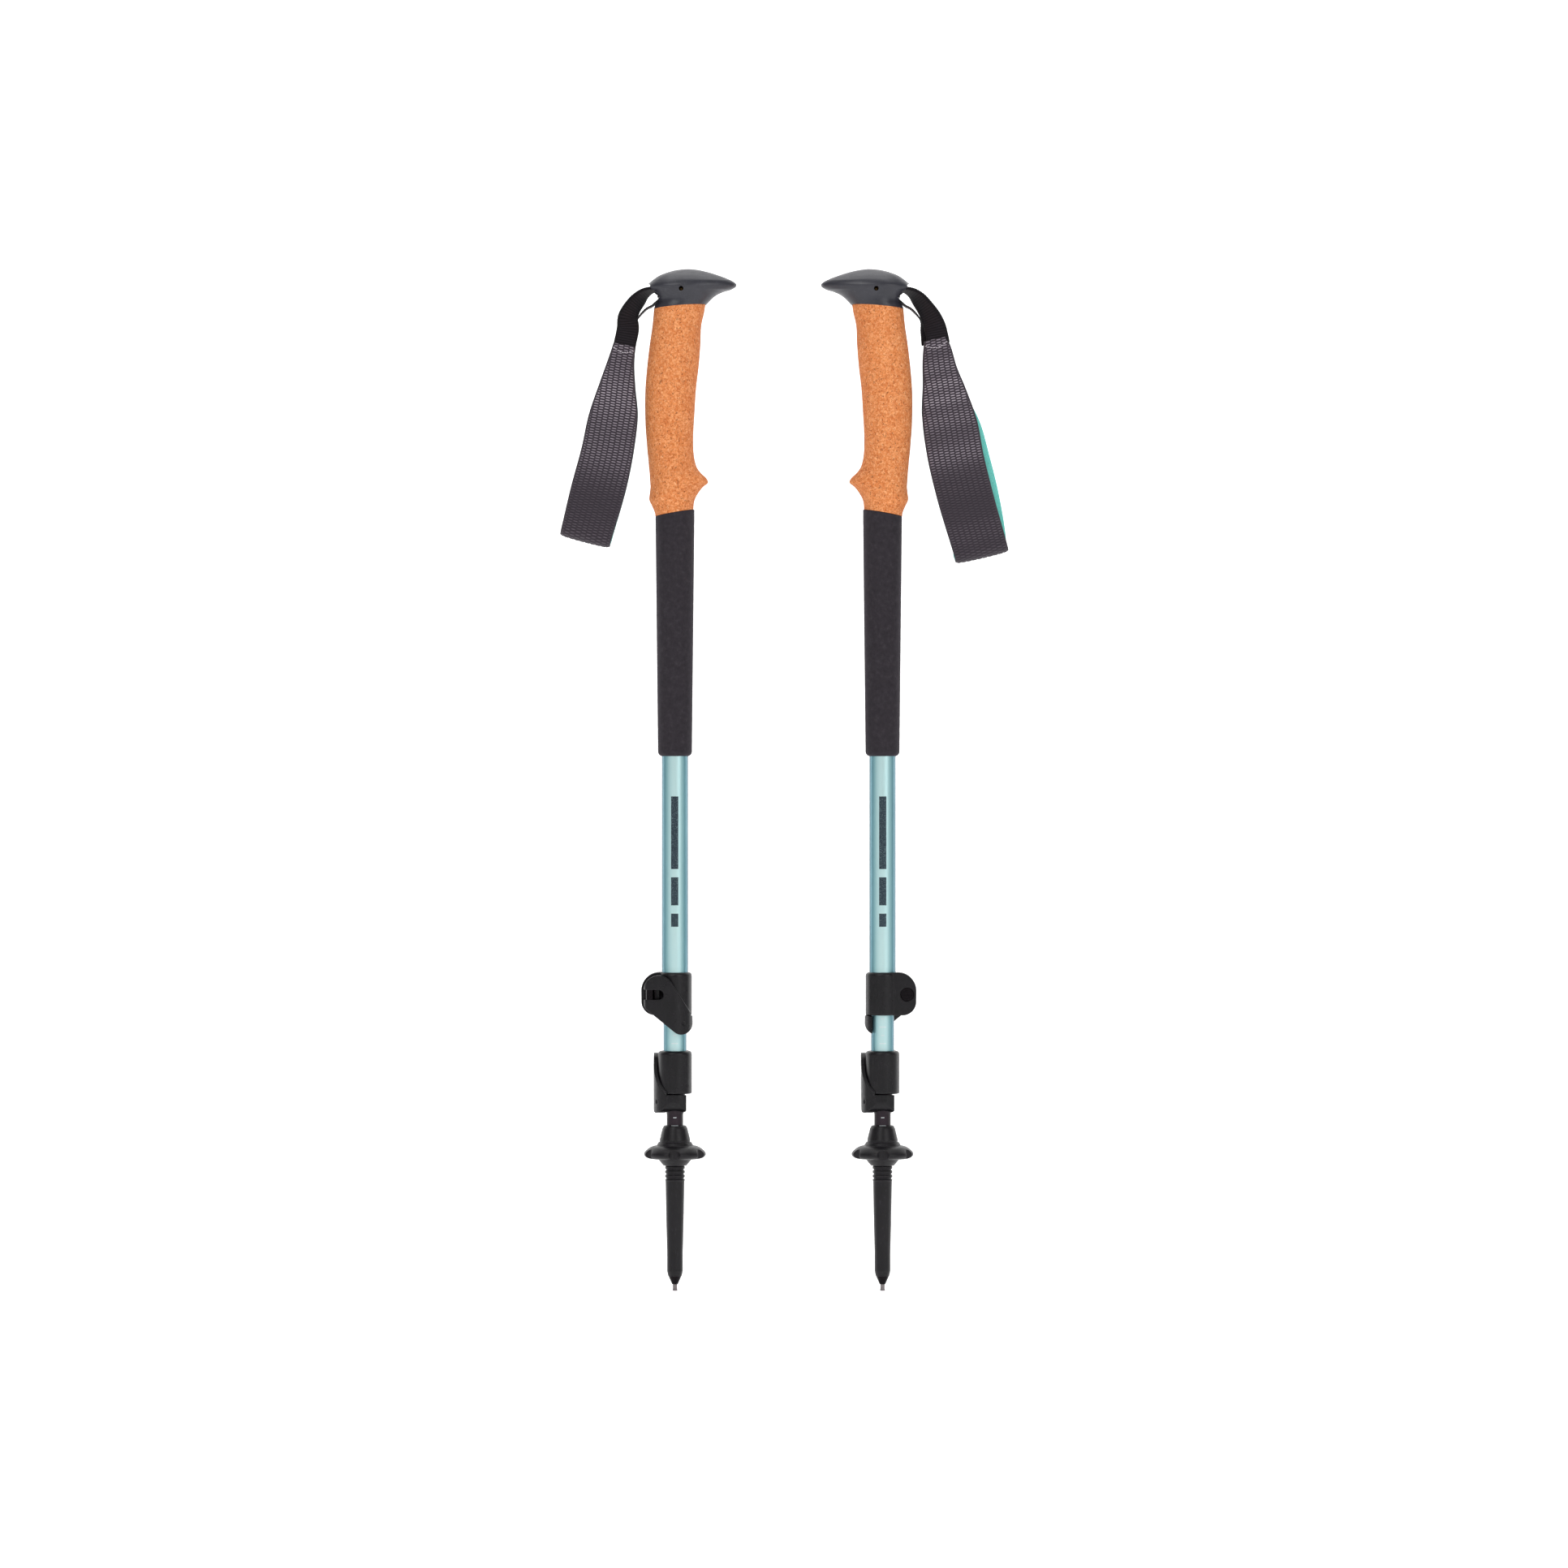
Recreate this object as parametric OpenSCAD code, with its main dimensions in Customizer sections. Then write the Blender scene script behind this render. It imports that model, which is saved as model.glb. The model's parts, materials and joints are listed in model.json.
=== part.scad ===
// A pair of three-section trekking poles, shown collapsed and standing on their tips.
// Millimetres, +Z up. The origin is the centre of the left pole's tip end, on the ground.
// +X points from the left pole to the right pole; the left grip's beak points the same way.
// The right grip, upper clamp and strap are the left ones turned half a turn about Z.

/* [Pair] */
// Distance between the two pole axes
pole_spacing = 126; // [120:1:200]
// Node to build, or "all"

/* [Tubes] */
// Outside diameter of the upper shaft
upper_od = 16; // [16:0.5:16]
// Outside diameter of the middle shaft
mid_od = 14; // [14:0.5:14]
// Outside diameter of the lower shaft
lower_od = 12; // [12:0.5:12]
// Wall thickness of every tube
tube_wall = 0.8; // [0.6:0.1:0.8]

/* [Clamps] */
// Height of the lower edge of the upper clamp collar
upper_clamp_z = 167.3; // [165:0.1:175]
// Height of the lower edge of the lower clamp collar
lower_clamp_z = 119.6; // [119:0.1:122]
// Outside radius of a clamp collar
collar_r = 10.3; // [10.2:0.1:10.4]

/* [Tip] */
// Radius of the flex tip's straight nose, where a rubber protector pushes on
tip_nose_r = 4.8; // [4.6:0.1:4.9]
// Outside radius of the trekking basket
basket_r = 18.8; // [17:0.1:21]
// Number of lobes round the basket
basket_lobes = 6; // [4:1:8]

/* [Hidden] */
$fn = 72;
run_gap = 0.05;      // radial running clearance between pieces that move
glue_gap = 0.02;     // radial gap of a glued or pressed joint
upper_r = upper_od / 2;
mid_r = mid_od / 2;
lower_r = lower_od / 2;

// Shaft ends, measured up from the ground
upper_top = 598;
mid_bottom = 121;
mid_top = 580;
lower_bottom = 78;
lower_top = 560;
lower_neck_r = 5;    // the lower shaft is swaged down to fit the flex tip

// Seams of the grip: height on the axis and slope towards the beak
head_seam_z = 596.9;
head_seam_angle = -4.9;
foam_seam_z = 472.1;
foam_seam_angle = -9.8;

// Clamp, in its own frame: collar on the Z axis with its lower edge at z = 0,
// ears to -X, lever on the -Y side, screw head on the +Y side
collar_h = 26;
collar_lip = 6;      // solid ring below the outer tube's end
screw_x = -14.8;
screw_z = 12.7;
screw_r = 1.5;
screw_hole_r = 1.75;
ear_slit = 1.5;
ear_screw_y = 8;     // outer face of the ear that holds the screw head
ear_lever_y = -4.6;  // outer face of the ear the lever presses on
recess_r = 4.2;
recess_floor_y = 4.5;
washer_t = 0.5;
nut_r = 2.6;
knuckle_r = 3.9;
pivot_y = -9.15;     // axis of the barrel nut, which the lever turns on
lever_slot_h = 6;

// Strap, in the grip's frame: it leaves the rear of the head, on the -X side
strap_root = [-15.5, 606.3];
strap_pin = [4, 607];
band_top = [-30.5, 574];
band_lean = 4.3;
band_t = 1.8;
lining_t = 1;

// ---------- placing ----------

// Right-hand pole: half a turn about Z keeps the beaks facing each other.
module on_right() {
    translate([pole_spacing, 0, 0]) rotate([0, 0, 180]) children();
}

// Right-hand pole, without the half turn.
module beside() {
    translate([pole_spacing, 0, 0]) children();
}

module at_upper_clamp() {
    translate([0, 0, upper_clamp_z]) children();
}

// The lower clamps have their ears at the back and their levers on the left.
module at_lower_clamp() {
    translate([0, 0, lower_clamp_z]) rotate([0, 0, -90]) children();
}

// ---------- shared shapes ----------

function arc(centre, r, from, to, steps) = [
    for (i = [0:steps]) let (a = from + (to - from) * i / steps)
        [centre[0] + r * cos(a), centre[1] + r * sin(a)]
];

// A plain tube between two heights.
module tube(r_out, r_in, z0, z1) {
    rotate_extrude() polygon([[r_in, z0], [r_out, z0], [r_out, z1], [r_in, z1]]);
}

// Lies a drawing of the X-Z plane upright and gives it a thickness from y0 to y1.
module upright(y0, y1) {
    translate([0, y1, 0]) rotate([90, 0, 0]) linear_extrude(y1 - y0) children();
}

// Lies a drawing of the Y-Z plane upright and gives it a thickness from x0 to x1.
module sideways(x0, x1) {
    translate([x0, 0, 0]) rotate([90, 0, 90]) linear_extrude(x1 - x0) children();
}

// Everything above a seam that crosses the grip's axis at height z and slopes in X-Z.
module above(z, angle) {
    translate([0, 0, z]) rotate([0, angle, 0]) translate([-60, -60, 0]) cube([120, 120, 200]);
}

// Skin through egg-shaped sections [z, rear x, front x, half width, narrowing of the front].
module loft(sections) {
    around = 40;
    last = len(sections) - 1;
    ring = [for (s = sections) for (i = [0:around - 1])
        let (a = 360 * i / around, reach = (s[2] - s[1]) / 2)
            [(s[1] + s[2]) / 2 + reach * cos(a), s[3] * sin(a) * (1 - s[4] * cos(a)), s[0]]];
    walls = [for (k = [0:last - 1]) for (i = [0:around - 1])
        let (j = (i + 1) % around, low = k * around, high = (k + 1) * around)
            each [[low + i, high + i, high + j], [low + i, high + j, low + j]]];
    bottom = [[for (i = [0:around - 1]) i]];
    top = [[for (i = [around - 1:-1:0]) last * around + i]];
    polyhedron(points = ring, faces = concat(walls, bottom, top), convexity = 6);
}

// ---------- grip ----------

head_sections = [
    [593, -13.3, 17.8, 13.6, 0.05], [598.3, -12, 19.1, 13.3, 0.06], [600.2, -10.9, 20.7, 13.2, 0.08],
    [602.2, -11.4, 22.7, 13.4, 0.1], [604.2, -12.8, 25.3, 13.9, 0.14], [606.1, -15, 29.3, 14.5, 0.18],
    [608.1, -17.3, 35.2, 15, 0.22], [609.6, -17.2, 37.2, 15, 0.24], [610.8, -16.3, 37.2, 14.6, 0.24],
    [612.1, -15.1, 36, 14, 0.22], [614, -12.8, 32.4, 12.6, 0.2], [616, -9.8, 27.2, 10.7, 0.16],
    [618, -4.8, 20.9, 7.8, 0.1], [619.3, 0, 15.5, 5, 0.05], [620, 5, 11, 2, 0]
];

module grip_head() {
    color([0.27, 0.28, 0.32]) difference() {
        loft(head_sections);
        mirror([0, 0, 1]) translate([0, 0, -2 * head_seam_z]) above(head_seam_z, -head_seam_angle);
        translate([0, 0, 580]) cylinder(h = 19, r = upper_r + glue_gap);
        translate([-25, -8, 601]) cube([34, 16, 10.5]);
        translate([strap_pin[0], 0, strap_pin[1]]) rotate([90, 0, 0])
            cylinder(h = 40, r = 1.4 + glue_gap, center = true);
    }
}

cork_sections = [
    [467, -12, 11.3, 11.9, 0], [472, -12.2, 11.3, 12, 0], [476, -14.2, 11.3, 13, 0],
    [480, -15.6, 12, 13.8, 0], [483.9, -15.2, 14, 14.1, 0.04], [487.9, -14.9, 17.1, 14.2, 0.1],
    [490.8, -15.1, 20.2, 14.2, 0.16], [493.2, -15.3, 19, 14.1, 0.14], [495.8, -15.4, 16.2, 13.9, 0.08],
    [499.5, -15.8, 13.4, 13.6, 0.03], [503.6, -16.1, 12.1, 13.4, 0], [509, -16.7, 11.3, 13.4, 0],
    [515.5, -17.2, 11.1, 13.6, 0], [523, -17.8, 11.3, 13.9, 0], [531.2, -18.1, 11.8, 14.2, 0],
    [547, -18, 12.8, 14.6, 0], [555, -17.4, 13.7, 14.6, 0], [562.8, -16.7, 14.6, 14.5, 0],
    [574.6, -15.3, 15.5, 14.2, 0], [586.4, -13.6, 16.1, 13.8, 0.03], [594, -12.9, 17.8, 13.6, 0.05],
    [600, -12.3, 19, 13.4, 0.06]
];

module cork_grip() {
    color([0.86, 0.56, 0.35]) difference() {
        intersection() {
            loft(cork_sections);
            above(foam_seam_z, foam_seam_angle);
        }
        above(head_seam_z - 0.05, head_seam_angle);
        translate([0, 0, 460]) cylinder(h = 150, r = upper_r + glue_gap);
    }
}

module foam_sleeve() {
    top_r = 11.85;
    bottom_r = 10.35;
    edge = 3;
    low = 324.3;
    profile = concat(
        [[upper_r + glue_gap, low]],
        arc([bottom_r - edge, low + edge], edge, -60, 0, 5),
        [[top_r, 470], [top_r, 476], [upper_r + glue_gap, 476]]
    );
    color([0.2, 0.19, 0.21]) difference() {
        rotate_extrude() polygon(profile);
        above(foam_seam_z - 0.05, foam_seam_angle);
    }
}

// ---------- wrist strap ----------

module strap_pin() {
    color([0.72, 0.6, 0.35]) translate([strap_pin[0], 0, strap_pin[1]]) rotate([90, 0, 0])
        cylinder(h = 26, r = 1.4, center = true);
}

// Wedge that jams the webbing against the roof of the head's chamber.
module strap_wedge() {
    color([0.12, 0.12, 0.13]) upright(-7, 7)
        polygon([[-10.5, 602.5], [-0.5, 601.2], [-0.5, 604.6], [-10.5, 607.2]]);
}

// Webbing inside the head: a loop round the pin and the tail that runs to the slot.
module strap_anchor() {
    color([0.1, 0.09, 0.1]) upright(-6.5, 6.5) difference() {
        union() {
            translate(strap_pin) circle(r = 2.9, $fn = 32);
            polygon([[4, 608.6], [4, 609.9], [-12.5, 609.3], [-12.5, 608]]);
        }
        translate(strap_pin) circle(r = 1.5, $fn = 32);
    }
}

// Outlines of the webbing and band seen from the side of the grip, as [x, z].
upper_strand = [
    [-14.6, 607.6], [-19.3, 608.1], [-23.2, 606.1], [-27.9, 602.2], [-32, 596.3], [-34.6, 588.4],
    [-36.6, 577], [-24.2, 574], [-23, 582], [-23.2, 592.4], [-21, 597], [-17.6, 602.2], [-15.6, 604.8]
];
lower_strand = [[-13.9, 598.4], [-14.3, 597], [-19.5, 588.5], [-23.2, 584], [-23.2, 588], [-20.5, 591.2]];

module strap_webbing() {
    color([0.1, 0.09, 0.1]) {
        intersection() {
            upright(-10, 10) union() {
                polygon(upper_strand);
                polygon(lower_strand);
            }
            sideways(-60, 0)
                polygon([[-7, 610], [7, 610], [6, 598], [2.6, 584], [2, 570], [-2, 570], [-2.6, 584], [-6, 598]]);
        }
        translate([strap_root[0], 0, strap_root[1]]) rotate([90, 0, 0]) cylinder(h = 14, r = 1.6, center = true);
    }
}

// Closed drop of a loop seen edge on: narrow at the top, round at the bottom.
module drop(length, inset) {
    hull() {
        translate([0, -5]) circle(r = 3.2 - inset, $fn = 32);
        translate([0, 7 - length]) circle(r = 7 - inset, $fn = 48);
    }
}

// The folded band hangs at an angle, and a little out of the plane of the grip, so that the two straps pass
// each other when the grips are turned to face them. Its width follows the outline.
module strap_loop(outline, length, tilt, outer, inner) {
    intersection() {
        translate([band_top[0], 0, band_top[1]]) rotate([-band_lean, tilt, 0]) sideways(-80, 80) difference() {
            drop(length, outer);
            drop(length, inner);
        }
        upright(-20, 12) polygon(outline);
    }
}

left_outline = [
    [-37.2, 573.4], [-24.2, 570.6], [-24, 551], [-22.4, 531], [-24.3, 511.5], [-28.7, 488], [-33.5, 468],
    [-36, 445], [-76, 445], [-67.7, 468], [-62.5, 488], [-56.3, 511.5], [-52.2, 531], [-45.6, 551], [-40.1, 566.7]
];
right_outline = [
    [-40.8, 573.4], [-24.8, 570.6], [-24.4, 551], [-23.9, 531], [-26.4, 509], [-31, 489], [-36.2, 468],
    [-44, 435], [-84, 435], [-76.1, 454], [-72, 478], [-67.3, 501], [-60.4, 525], [-52.5, 543], [-45.1, 560]
];

module strap_band(outline, length, tilt) {
    color([0.35, 0.33, 0.35]) strap_loop(outline, length, tilt, 0, band_t);
}

module strap_lining(outline, length, tilt) {
    inset = band_t + run_gap;
    color([0.43, 0.8, 0.75]) strap_loop(outline, length, tilt, inset, inset + lining_t);
}

module left_strap(piece) {
    if (piece == "band") strap_band(left_outline, 121, 14);
    if (piece == "lining") strap_lining(left_outline, 121, 14);
}

module right_strap(piece) {
    if (piece == "band") strap_band(right_outline, 131, 15.5);
    if (piece == "lining") strap_lining(right_outline, 131, 15.5);
}

// ---------- clamp ----------

module ear_outline() {
    hull() {
        translate([-9.4, 15]) circle(r = 11);
        translate([-12, 8.3]) circle(r = 8.3);
        translate([-6, 0]) square([6, collar_h]);
    }
}

// Collar of a lever clamp: grips the outer tube, and guides the inner one through its lip.
module clamp_collar(outer_tube_r, inner_tube_r) {
    edge = 2;
    profile = concat(
        [[0, 0]],
        arc([collar_r - 0.8, 0.8], 0.8, -90, 0, 3),
        arc([collar_r - edge, collar_h - edge], edge, 0, 90, 5),
        [[0, collar_h]]
    );
    color([0.15, 0.15, 0.16]) difference() {
        union() {
            rotate_extrude() polygon(profile);
            upright(ear_lever_y, ear_screw_y) ear_outline();
        }
        translate([0, 0, -1]) cylinder(h = collar_h + 2, r = inner_tube_r + 0.1);
        translate([0, 0, collar_lip]) cylinder(h = collar_h, r = outer_tube_r + glue_gap);
        translate([-30, -ear_slit / 2, -1]) cube([30, ear_slit, collar_h + 2]);
        translate([screw_x, 0, screw_z]) rotate([90, 0, 0]) cylinder(h = 40, r = screw_hole_r, center = true);
        translate([screw_x, 20, screw_z]) rotate([90, 0, 0]) cylinder(h = 20 - recess_floor_y, r = recess_r);
    }
}

// Bearing plate between the lever's cam and the ear.
module clamp_washer() {
    color([0.55, 0.55, 0.57]) difference() {
        translate([screw_x - 3.6, ear_lever_y - run_gap - washer_t, screw_z - 5]) cube([7.2, washer_t, 10]);
        translate([screw_x, 0, screw_z]) rotate([90, 0, 0]) cylinder(h = 40, r = screw_hole_r, center = true);
    }
}

// Cross-drilled nut that the lever turns on.
module barrel_nut() {
    color([0.72, 0.6, 0.35]) difference() {
        translate([screw_x, pivot_y, 5.5]) cylinder(h = 12.1, r = nut_r);
        translate([screw_x, 0, screw_z]) rotate([90, 0, 0]) cylinder(h = 40, r = screw_r + run_gap, center = true);
    }
}

// Adjusting screw with a coin slot.
module clamp_screw() {
    head_t = 2.8;
    color([0.2, 0.2, 0.21]) difference() {
        union() {
            translate([screw_x, recess_floor_y + run_gap + head_t, screw_z]) rotate([90, 0, 0])
                cylinder(h = head_t, r = recess_r - 0.3);
            translate([screw_x, recess_floor_y + 1, screw_z]) rotate([90, 0, 0])
                cylinder(h = recess_floor_y + 1 - pivot_y + nut_r - 0.3, r = screw_r);
        }
        translate([screw_x - 5, recess_floor_y + head_t - 1.2, screw_z - 0.5]) cube([10, 3, 1]);
    }
}

// The lever seen from its flat side: a drop with its tip below the collar, in front.
module lever_outline() {
    hull() {
        translate([-9.6, 15.2]) circle(r = 9.2);
        translate([-14.6, 7]) circle(r = 4);
        translate([4.2, -4.9]) circle(r = 6.6);
        translate([8.8, -0.4]) circle(r = 1.9);
    }
}

// Beside the collar the lever is a shell that stops short of the front. Below the collar its tip wraps on round.
lever_outer_centre = [-0.9, -0.9];
lever_outer_r = 12.1;

module lever_plan(inner_r, inner_from, wrap) {
    polygon(concat(
        arc([screw_x, pivot_y], knuckle_r, 270, 90, 12),
        [[screw_x + 1.5, -7]],
        arc([0, 0], inner_r, inner_from, 360 + wrap, 24),
        arc(lever_outer_centre, lever_outer_r, 360 + wrap, 268, 20)
    ));
}

module clamp_lever() {
    color([0.17, 0.16, 0.18]) difference() {
        intersection() {
            upright(-20, 20) lever_outline();
            union() {
                translate([0, 0, -1]) linear_extrude(30) lever_plan(collar_r + 0.25, 223, -25);
                translate([0, 0, -20]) linear_extrude(19.6) lever_plan(mid_r + 1.2, 223, 42);
            }
        }
        translate([screw_x, pivot_y, -20]) cylinder(h = 38, r = nut_r + run_gap);
        translate([-25, -20, screw_z - lever_slot_h / 2]) cube([25 - 9.6, 20, lever_slot_h]);
        translate([-9.6, 0, screw_z]) rotate([90, 0, 0]) cylinder(h = 20, r = lever_slot_h / 2);
        translate([5.9, -10.4, -4.7]) rotate([90, 0, 0]) cylinder(h = 5, r = 1.25);
    }
}

// ---------- shafts ----------

module upper_shaft() {
    color([0.6, 0.8, 0.82]) difference() {
        tube(upper_r, upper_r - tube_wall, upper_clamp_z + collar_lip + 0.2, upper_top);
        translate([-30, -ear_slit / 2, 0]) cube([30, ear_slit, upper_clamp_z + collar_h - 3]);
    }
}

module mid_shaft() {
    color([0.62, 0.82, 0.84]) difference() {
        tube(mid_r, mid_r - tube_wall, lower_clamp_z + collar_lip + 0.2, mid_top);
        translate([-ear_slit / 2, 0, 0]) cube([ear_slit, 30, lower_clamp_z + collar_h - 3]);
    }
}

// Guide bush in the top of a shaft: a flange that runs in the next shaft up, on a glued spigot.
module bush(shaft_r, top) {
    flange_h = 6;
    spigot_h = 10;
    outer = shaft_r + 0.2 - run_gap;
    spigot = shaft_r - tube_wall - glue_gap;
    color([0.85, 0.85, 0.83]) rotate_extrude() polygon([
        [spigot - 1.5, top - spigot_h], [spigot, top - spigot_h], [spigot, top + glue_gap],
        [outer, top + glue_gap], [outer, top + flange_h], [spigot - 1.5, top + flange_h]
    ]);
}

module lower_shaft() {
    bore = lower_r - tube_wall;
    color([0.14, 0.12, 0.14]) rotate_extrude() polygon([
        [lower_neck_r - tube_wall, lower_bottom], [lower_neck_r, lower_bottom], [lower_neck_r, 107],
        [lower_r, 113], [lower_r, lower_top], [bore, lower_top], [bore, 113], [lower_neck_r - tube_wall, 107]
    ]);
}

// ---------- tip and basket ----------

thread_r = 6;
thread_root_r = 5.35;
thread_pitch = 2.6;
tip_shoulder_z = 90.3;

module flex_tip() {
    socket = lower_neck_r + glue_gap;
    grooves = [for (k = [0:7]) let (z = 68.2 + k * thread_pitch)
        each [[thread_r, z - 0.7], [thread_root_r, z - 0.3], [thread_root_r, z + 0.3], [thread_r, z + 0.7]]];
    color([0.19, 0.18, 0.2]) rotate_extrude() polygon(concat(
        [[3 + glue_gap, 8.9], [4.1, 8.9], [4.5, 10.6], [tip_nose_r, 12], [tip_nose_r, 23]],
        [[5.25, 40], [5.75, 66.4], [thread_r, 66.9]],
        grooves,
        [[thread_r, tip_shoulder_z], [9.25, tip_shoulder_z], [9.25, 91.6], [8.6, 94.4], [7.6, 98.4]],
        [[6.9, 99.8], [6.4, 100.2], [socket, 100.2], [socket, lower_bottom - 0.5], [3.4, lower_bottom - 0.5]],
        [[3.4, 30], [3 + glue_gap, 30]]
    ));
}

module tip_ferrule() {
    hole = 1.5 + glue_gap;
    color([0.3, 0.29, 0.3]) rotate_extrude() polygon([
        [hole, 3.9], [1.8, 3.9], [4, 8.85], [3, 8.85], [3, 16.5], [hole, 16.5]
    ]);
}

module carbide_tip() {
    color([0.5, 0.48, 0.48]) rotate_extrude() polygon([
        [0, 0], [1.45, 0], [1.45, 0.5], [1.3, 1.3], [1.35, 3.9], [1.5, 4.3], [1.5, 14], [0, 14]
    ]);
}

// Trekking basket: a thick scalloped rim on a hub that screws onto the flex tip.
module basket() {
    hub = thread_r + run_gap;
    notch_r = 4;
    color([0.2, 0.19, 0.21]) difference() {
        rotate_extrude() polygon(concat(
            [[hub, 90.2], [9.9, 90.2], [10.4, 89.4], [11.2, 88], [13.5, 88.1]],
            arc([basket_r - 4, 84.2], 4, 88, -100, 12),
            [[13.2, 82.2], [11.6, 81.6], [10.2, 79.8], [8.7, 77.9], [7, 75.9], [hub, 75.9]]
        ));
        for (k = [0:basket_lobes - 1]) rotate([0, 0, (k + 0.5) * 360 / basket_lobes])
            translate([basket_r + 1.4, 0, 70]) cylinder(h = 25, r = notch_r);
    }
}

// ---------- left pole ----------

grip_head();  // left_grip_head
cork_grip();  // left_cork_grip
foam_sleeve();  // left_foam_sleeve
upper_shaft();  // left_upper_shaft
at_upper_clamp() clamp_collar(upper_r, mid_r);  // left_upper_collar
at_upper_clamp() clamp_washer();  // left_upper_washer
at_upper_clamp() barrel_nut();  // left_upper_barrel_nut
at_upper_clamp() clamp_lever();  // left_upper_lever
at_upper_clamp() clamp_screw();  // left_upper_screw
strap_pin();  // left_strap_pin
strap_wedge();  // left_strap_wedge
strap_anchor();  // left_strap_anchor
strap_webbing();  // left_strap_webbing
left_strap("band");  // left_strap_band
left_strap("lining");  // left_strap_lining
bush(mid_r, mid_top);  // left_mid_bush
mid_shaft();  // left_mid_shaft
at_lower_clamp() clamp_collar(mid_r, lower_r);  // left_lower_collar
at_lower_clamp() clamp_washer();  // left_lower_washer
at_lower_clamp() barrel_nut();  // left_lower_barrel_nut
at_lower_clamp() clamp_lever();  // left_lower_lever
at_lower_clamp() clamp_screw();  // left_lower_screw
bush(lower_r, lower_top);  // left_lower_bush
lower_shaft();  // left_lower_shaft
flex_tip();  // left_flex_tip
tip_ferrule();  // left_tip_ferrule
carbide_tip();  // left_carbide_tip
basket();  // left_basket

// ---------- right pole ----------

on_right() grip_head();  // right_grip_head
on_right() cork_grip();  // right_cork_grip
on_right() foam_sleeve();  // right_foam_sleeve
on_right() upper_shaft();  // right_upper_shaft
on_right() at_upper_clamp() clamp_collar(upper_r, mid_r);  // right_upper_collar
on_right() at_upper_clamp() clamp_washer();  // right_upper_washer
on_right() at_upper_clamp() barrel_nut();  // right_upper_barrel_nut
on_right() at_upper_clamp() clamp_lever();  // right_upper_lever
on_right() at_upper_clamp() clamp_screw();  // right_upper_screw
on_right() strap_pin();  // right_strap_pin
on_right() strap_wedge();  // right_strap_wedge
on_right() strap_anchor();  // right_strap_anchor
on_right() strap_webbing();  // right_strap_webbing
on_right() right_strap("band");  // right_strap_band
on_right() right_strap("lining");  // right_strap_lining
beside() bush(mid_r, mid_top);  // right_mid_bush
beside() mid_shaft();  // right_mid_shaft
beside() at_lower_clamp() clamp_collar(mid_r, lower_r);  // right_lower_collar
beside() at_lower_clamp() clamp_washer();  // right_lower_washer
beside() at_lower_clamp() barrel_nut();  // right_lower_barrel_nut
beside() at_lower_clamp() clamp_lever();  // right_lower_lever
beside() at_lower_clamp() clamp_screw();  // right_lower_screw
beside() bush(lower_r, lower_top);  // right_lower_bush
beside() lower_shaft();  // right_lower_shaft
beside() flex_tip();  // right_flex_tip
beside() tip_ferrule();  // right_tip_ferrule
beside() carbide_tip();  // right_carbide_tip
beside() basket();  // right_basket
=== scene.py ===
"""Looks of a pair of trekking poles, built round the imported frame.

Shapes are worked out in millimetres in the left pole's frame: pole on the Z axis, beak to +X, strap to -X,
tip on the ground at z = 0. The right pole's pieces are the left pole's, turned, moved or mirrored.
"""

import json
import math

import bmesh
import bpy
import numpy as np
from mathutils import Matrix, Vector


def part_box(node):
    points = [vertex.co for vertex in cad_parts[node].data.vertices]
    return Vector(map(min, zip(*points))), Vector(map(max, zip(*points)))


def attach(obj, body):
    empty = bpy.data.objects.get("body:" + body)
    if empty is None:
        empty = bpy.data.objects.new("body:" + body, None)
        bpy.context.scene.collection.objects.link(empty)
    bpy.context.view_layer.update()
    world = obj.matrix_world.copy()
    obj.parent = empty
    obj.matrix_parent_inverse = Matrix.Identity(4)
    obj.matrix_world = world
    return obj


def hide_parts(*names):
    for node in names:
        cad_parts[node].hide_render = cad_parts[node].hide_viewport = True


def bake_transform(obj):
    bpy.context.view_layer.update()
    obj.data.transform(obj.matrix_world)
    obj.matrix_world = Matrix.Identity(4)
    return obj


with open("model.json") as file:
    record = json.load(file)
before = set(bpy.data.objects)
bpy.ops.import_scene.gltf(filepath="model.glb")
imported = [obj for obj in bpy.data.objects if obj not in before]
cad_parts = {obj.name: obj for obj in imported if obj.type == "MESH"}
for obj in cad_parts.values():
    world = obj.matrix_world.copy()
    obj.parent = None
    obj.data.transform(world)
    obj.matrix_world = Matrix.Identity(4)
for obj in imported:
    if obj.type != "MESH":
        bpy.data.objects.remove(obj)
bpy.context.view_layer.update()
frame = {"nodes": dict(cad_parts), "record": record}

MM = 0.001
SIDES = ("left", "right")


def centre_x(node):
    """X of the middle of a CAD node, in metres."""
    low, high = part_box(node)
    return (low[0] + high[0]) / 2


AXIS_X = {side: centre_x(f"{side}_carbide_tip") for side in SIDES}
TOP_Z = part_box("left_grip_head")[1][2]
SHAFT_R = 8.0  # outside radius of the upper shaft, which the grip is glued to
GLUE_GAP = 0.05


# ---------- materials ----------


def rgb(red, green, blue):
    """Linear colour from 0-255 display values."""

    def linear(value):
        share = value / 255
        return share / 12.92 if share <= 0.04045 else ((share + 0.055) / 1.055) ** 2.4

    return (linear(red), linear(green), linear(blue), 1.0)


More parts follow.
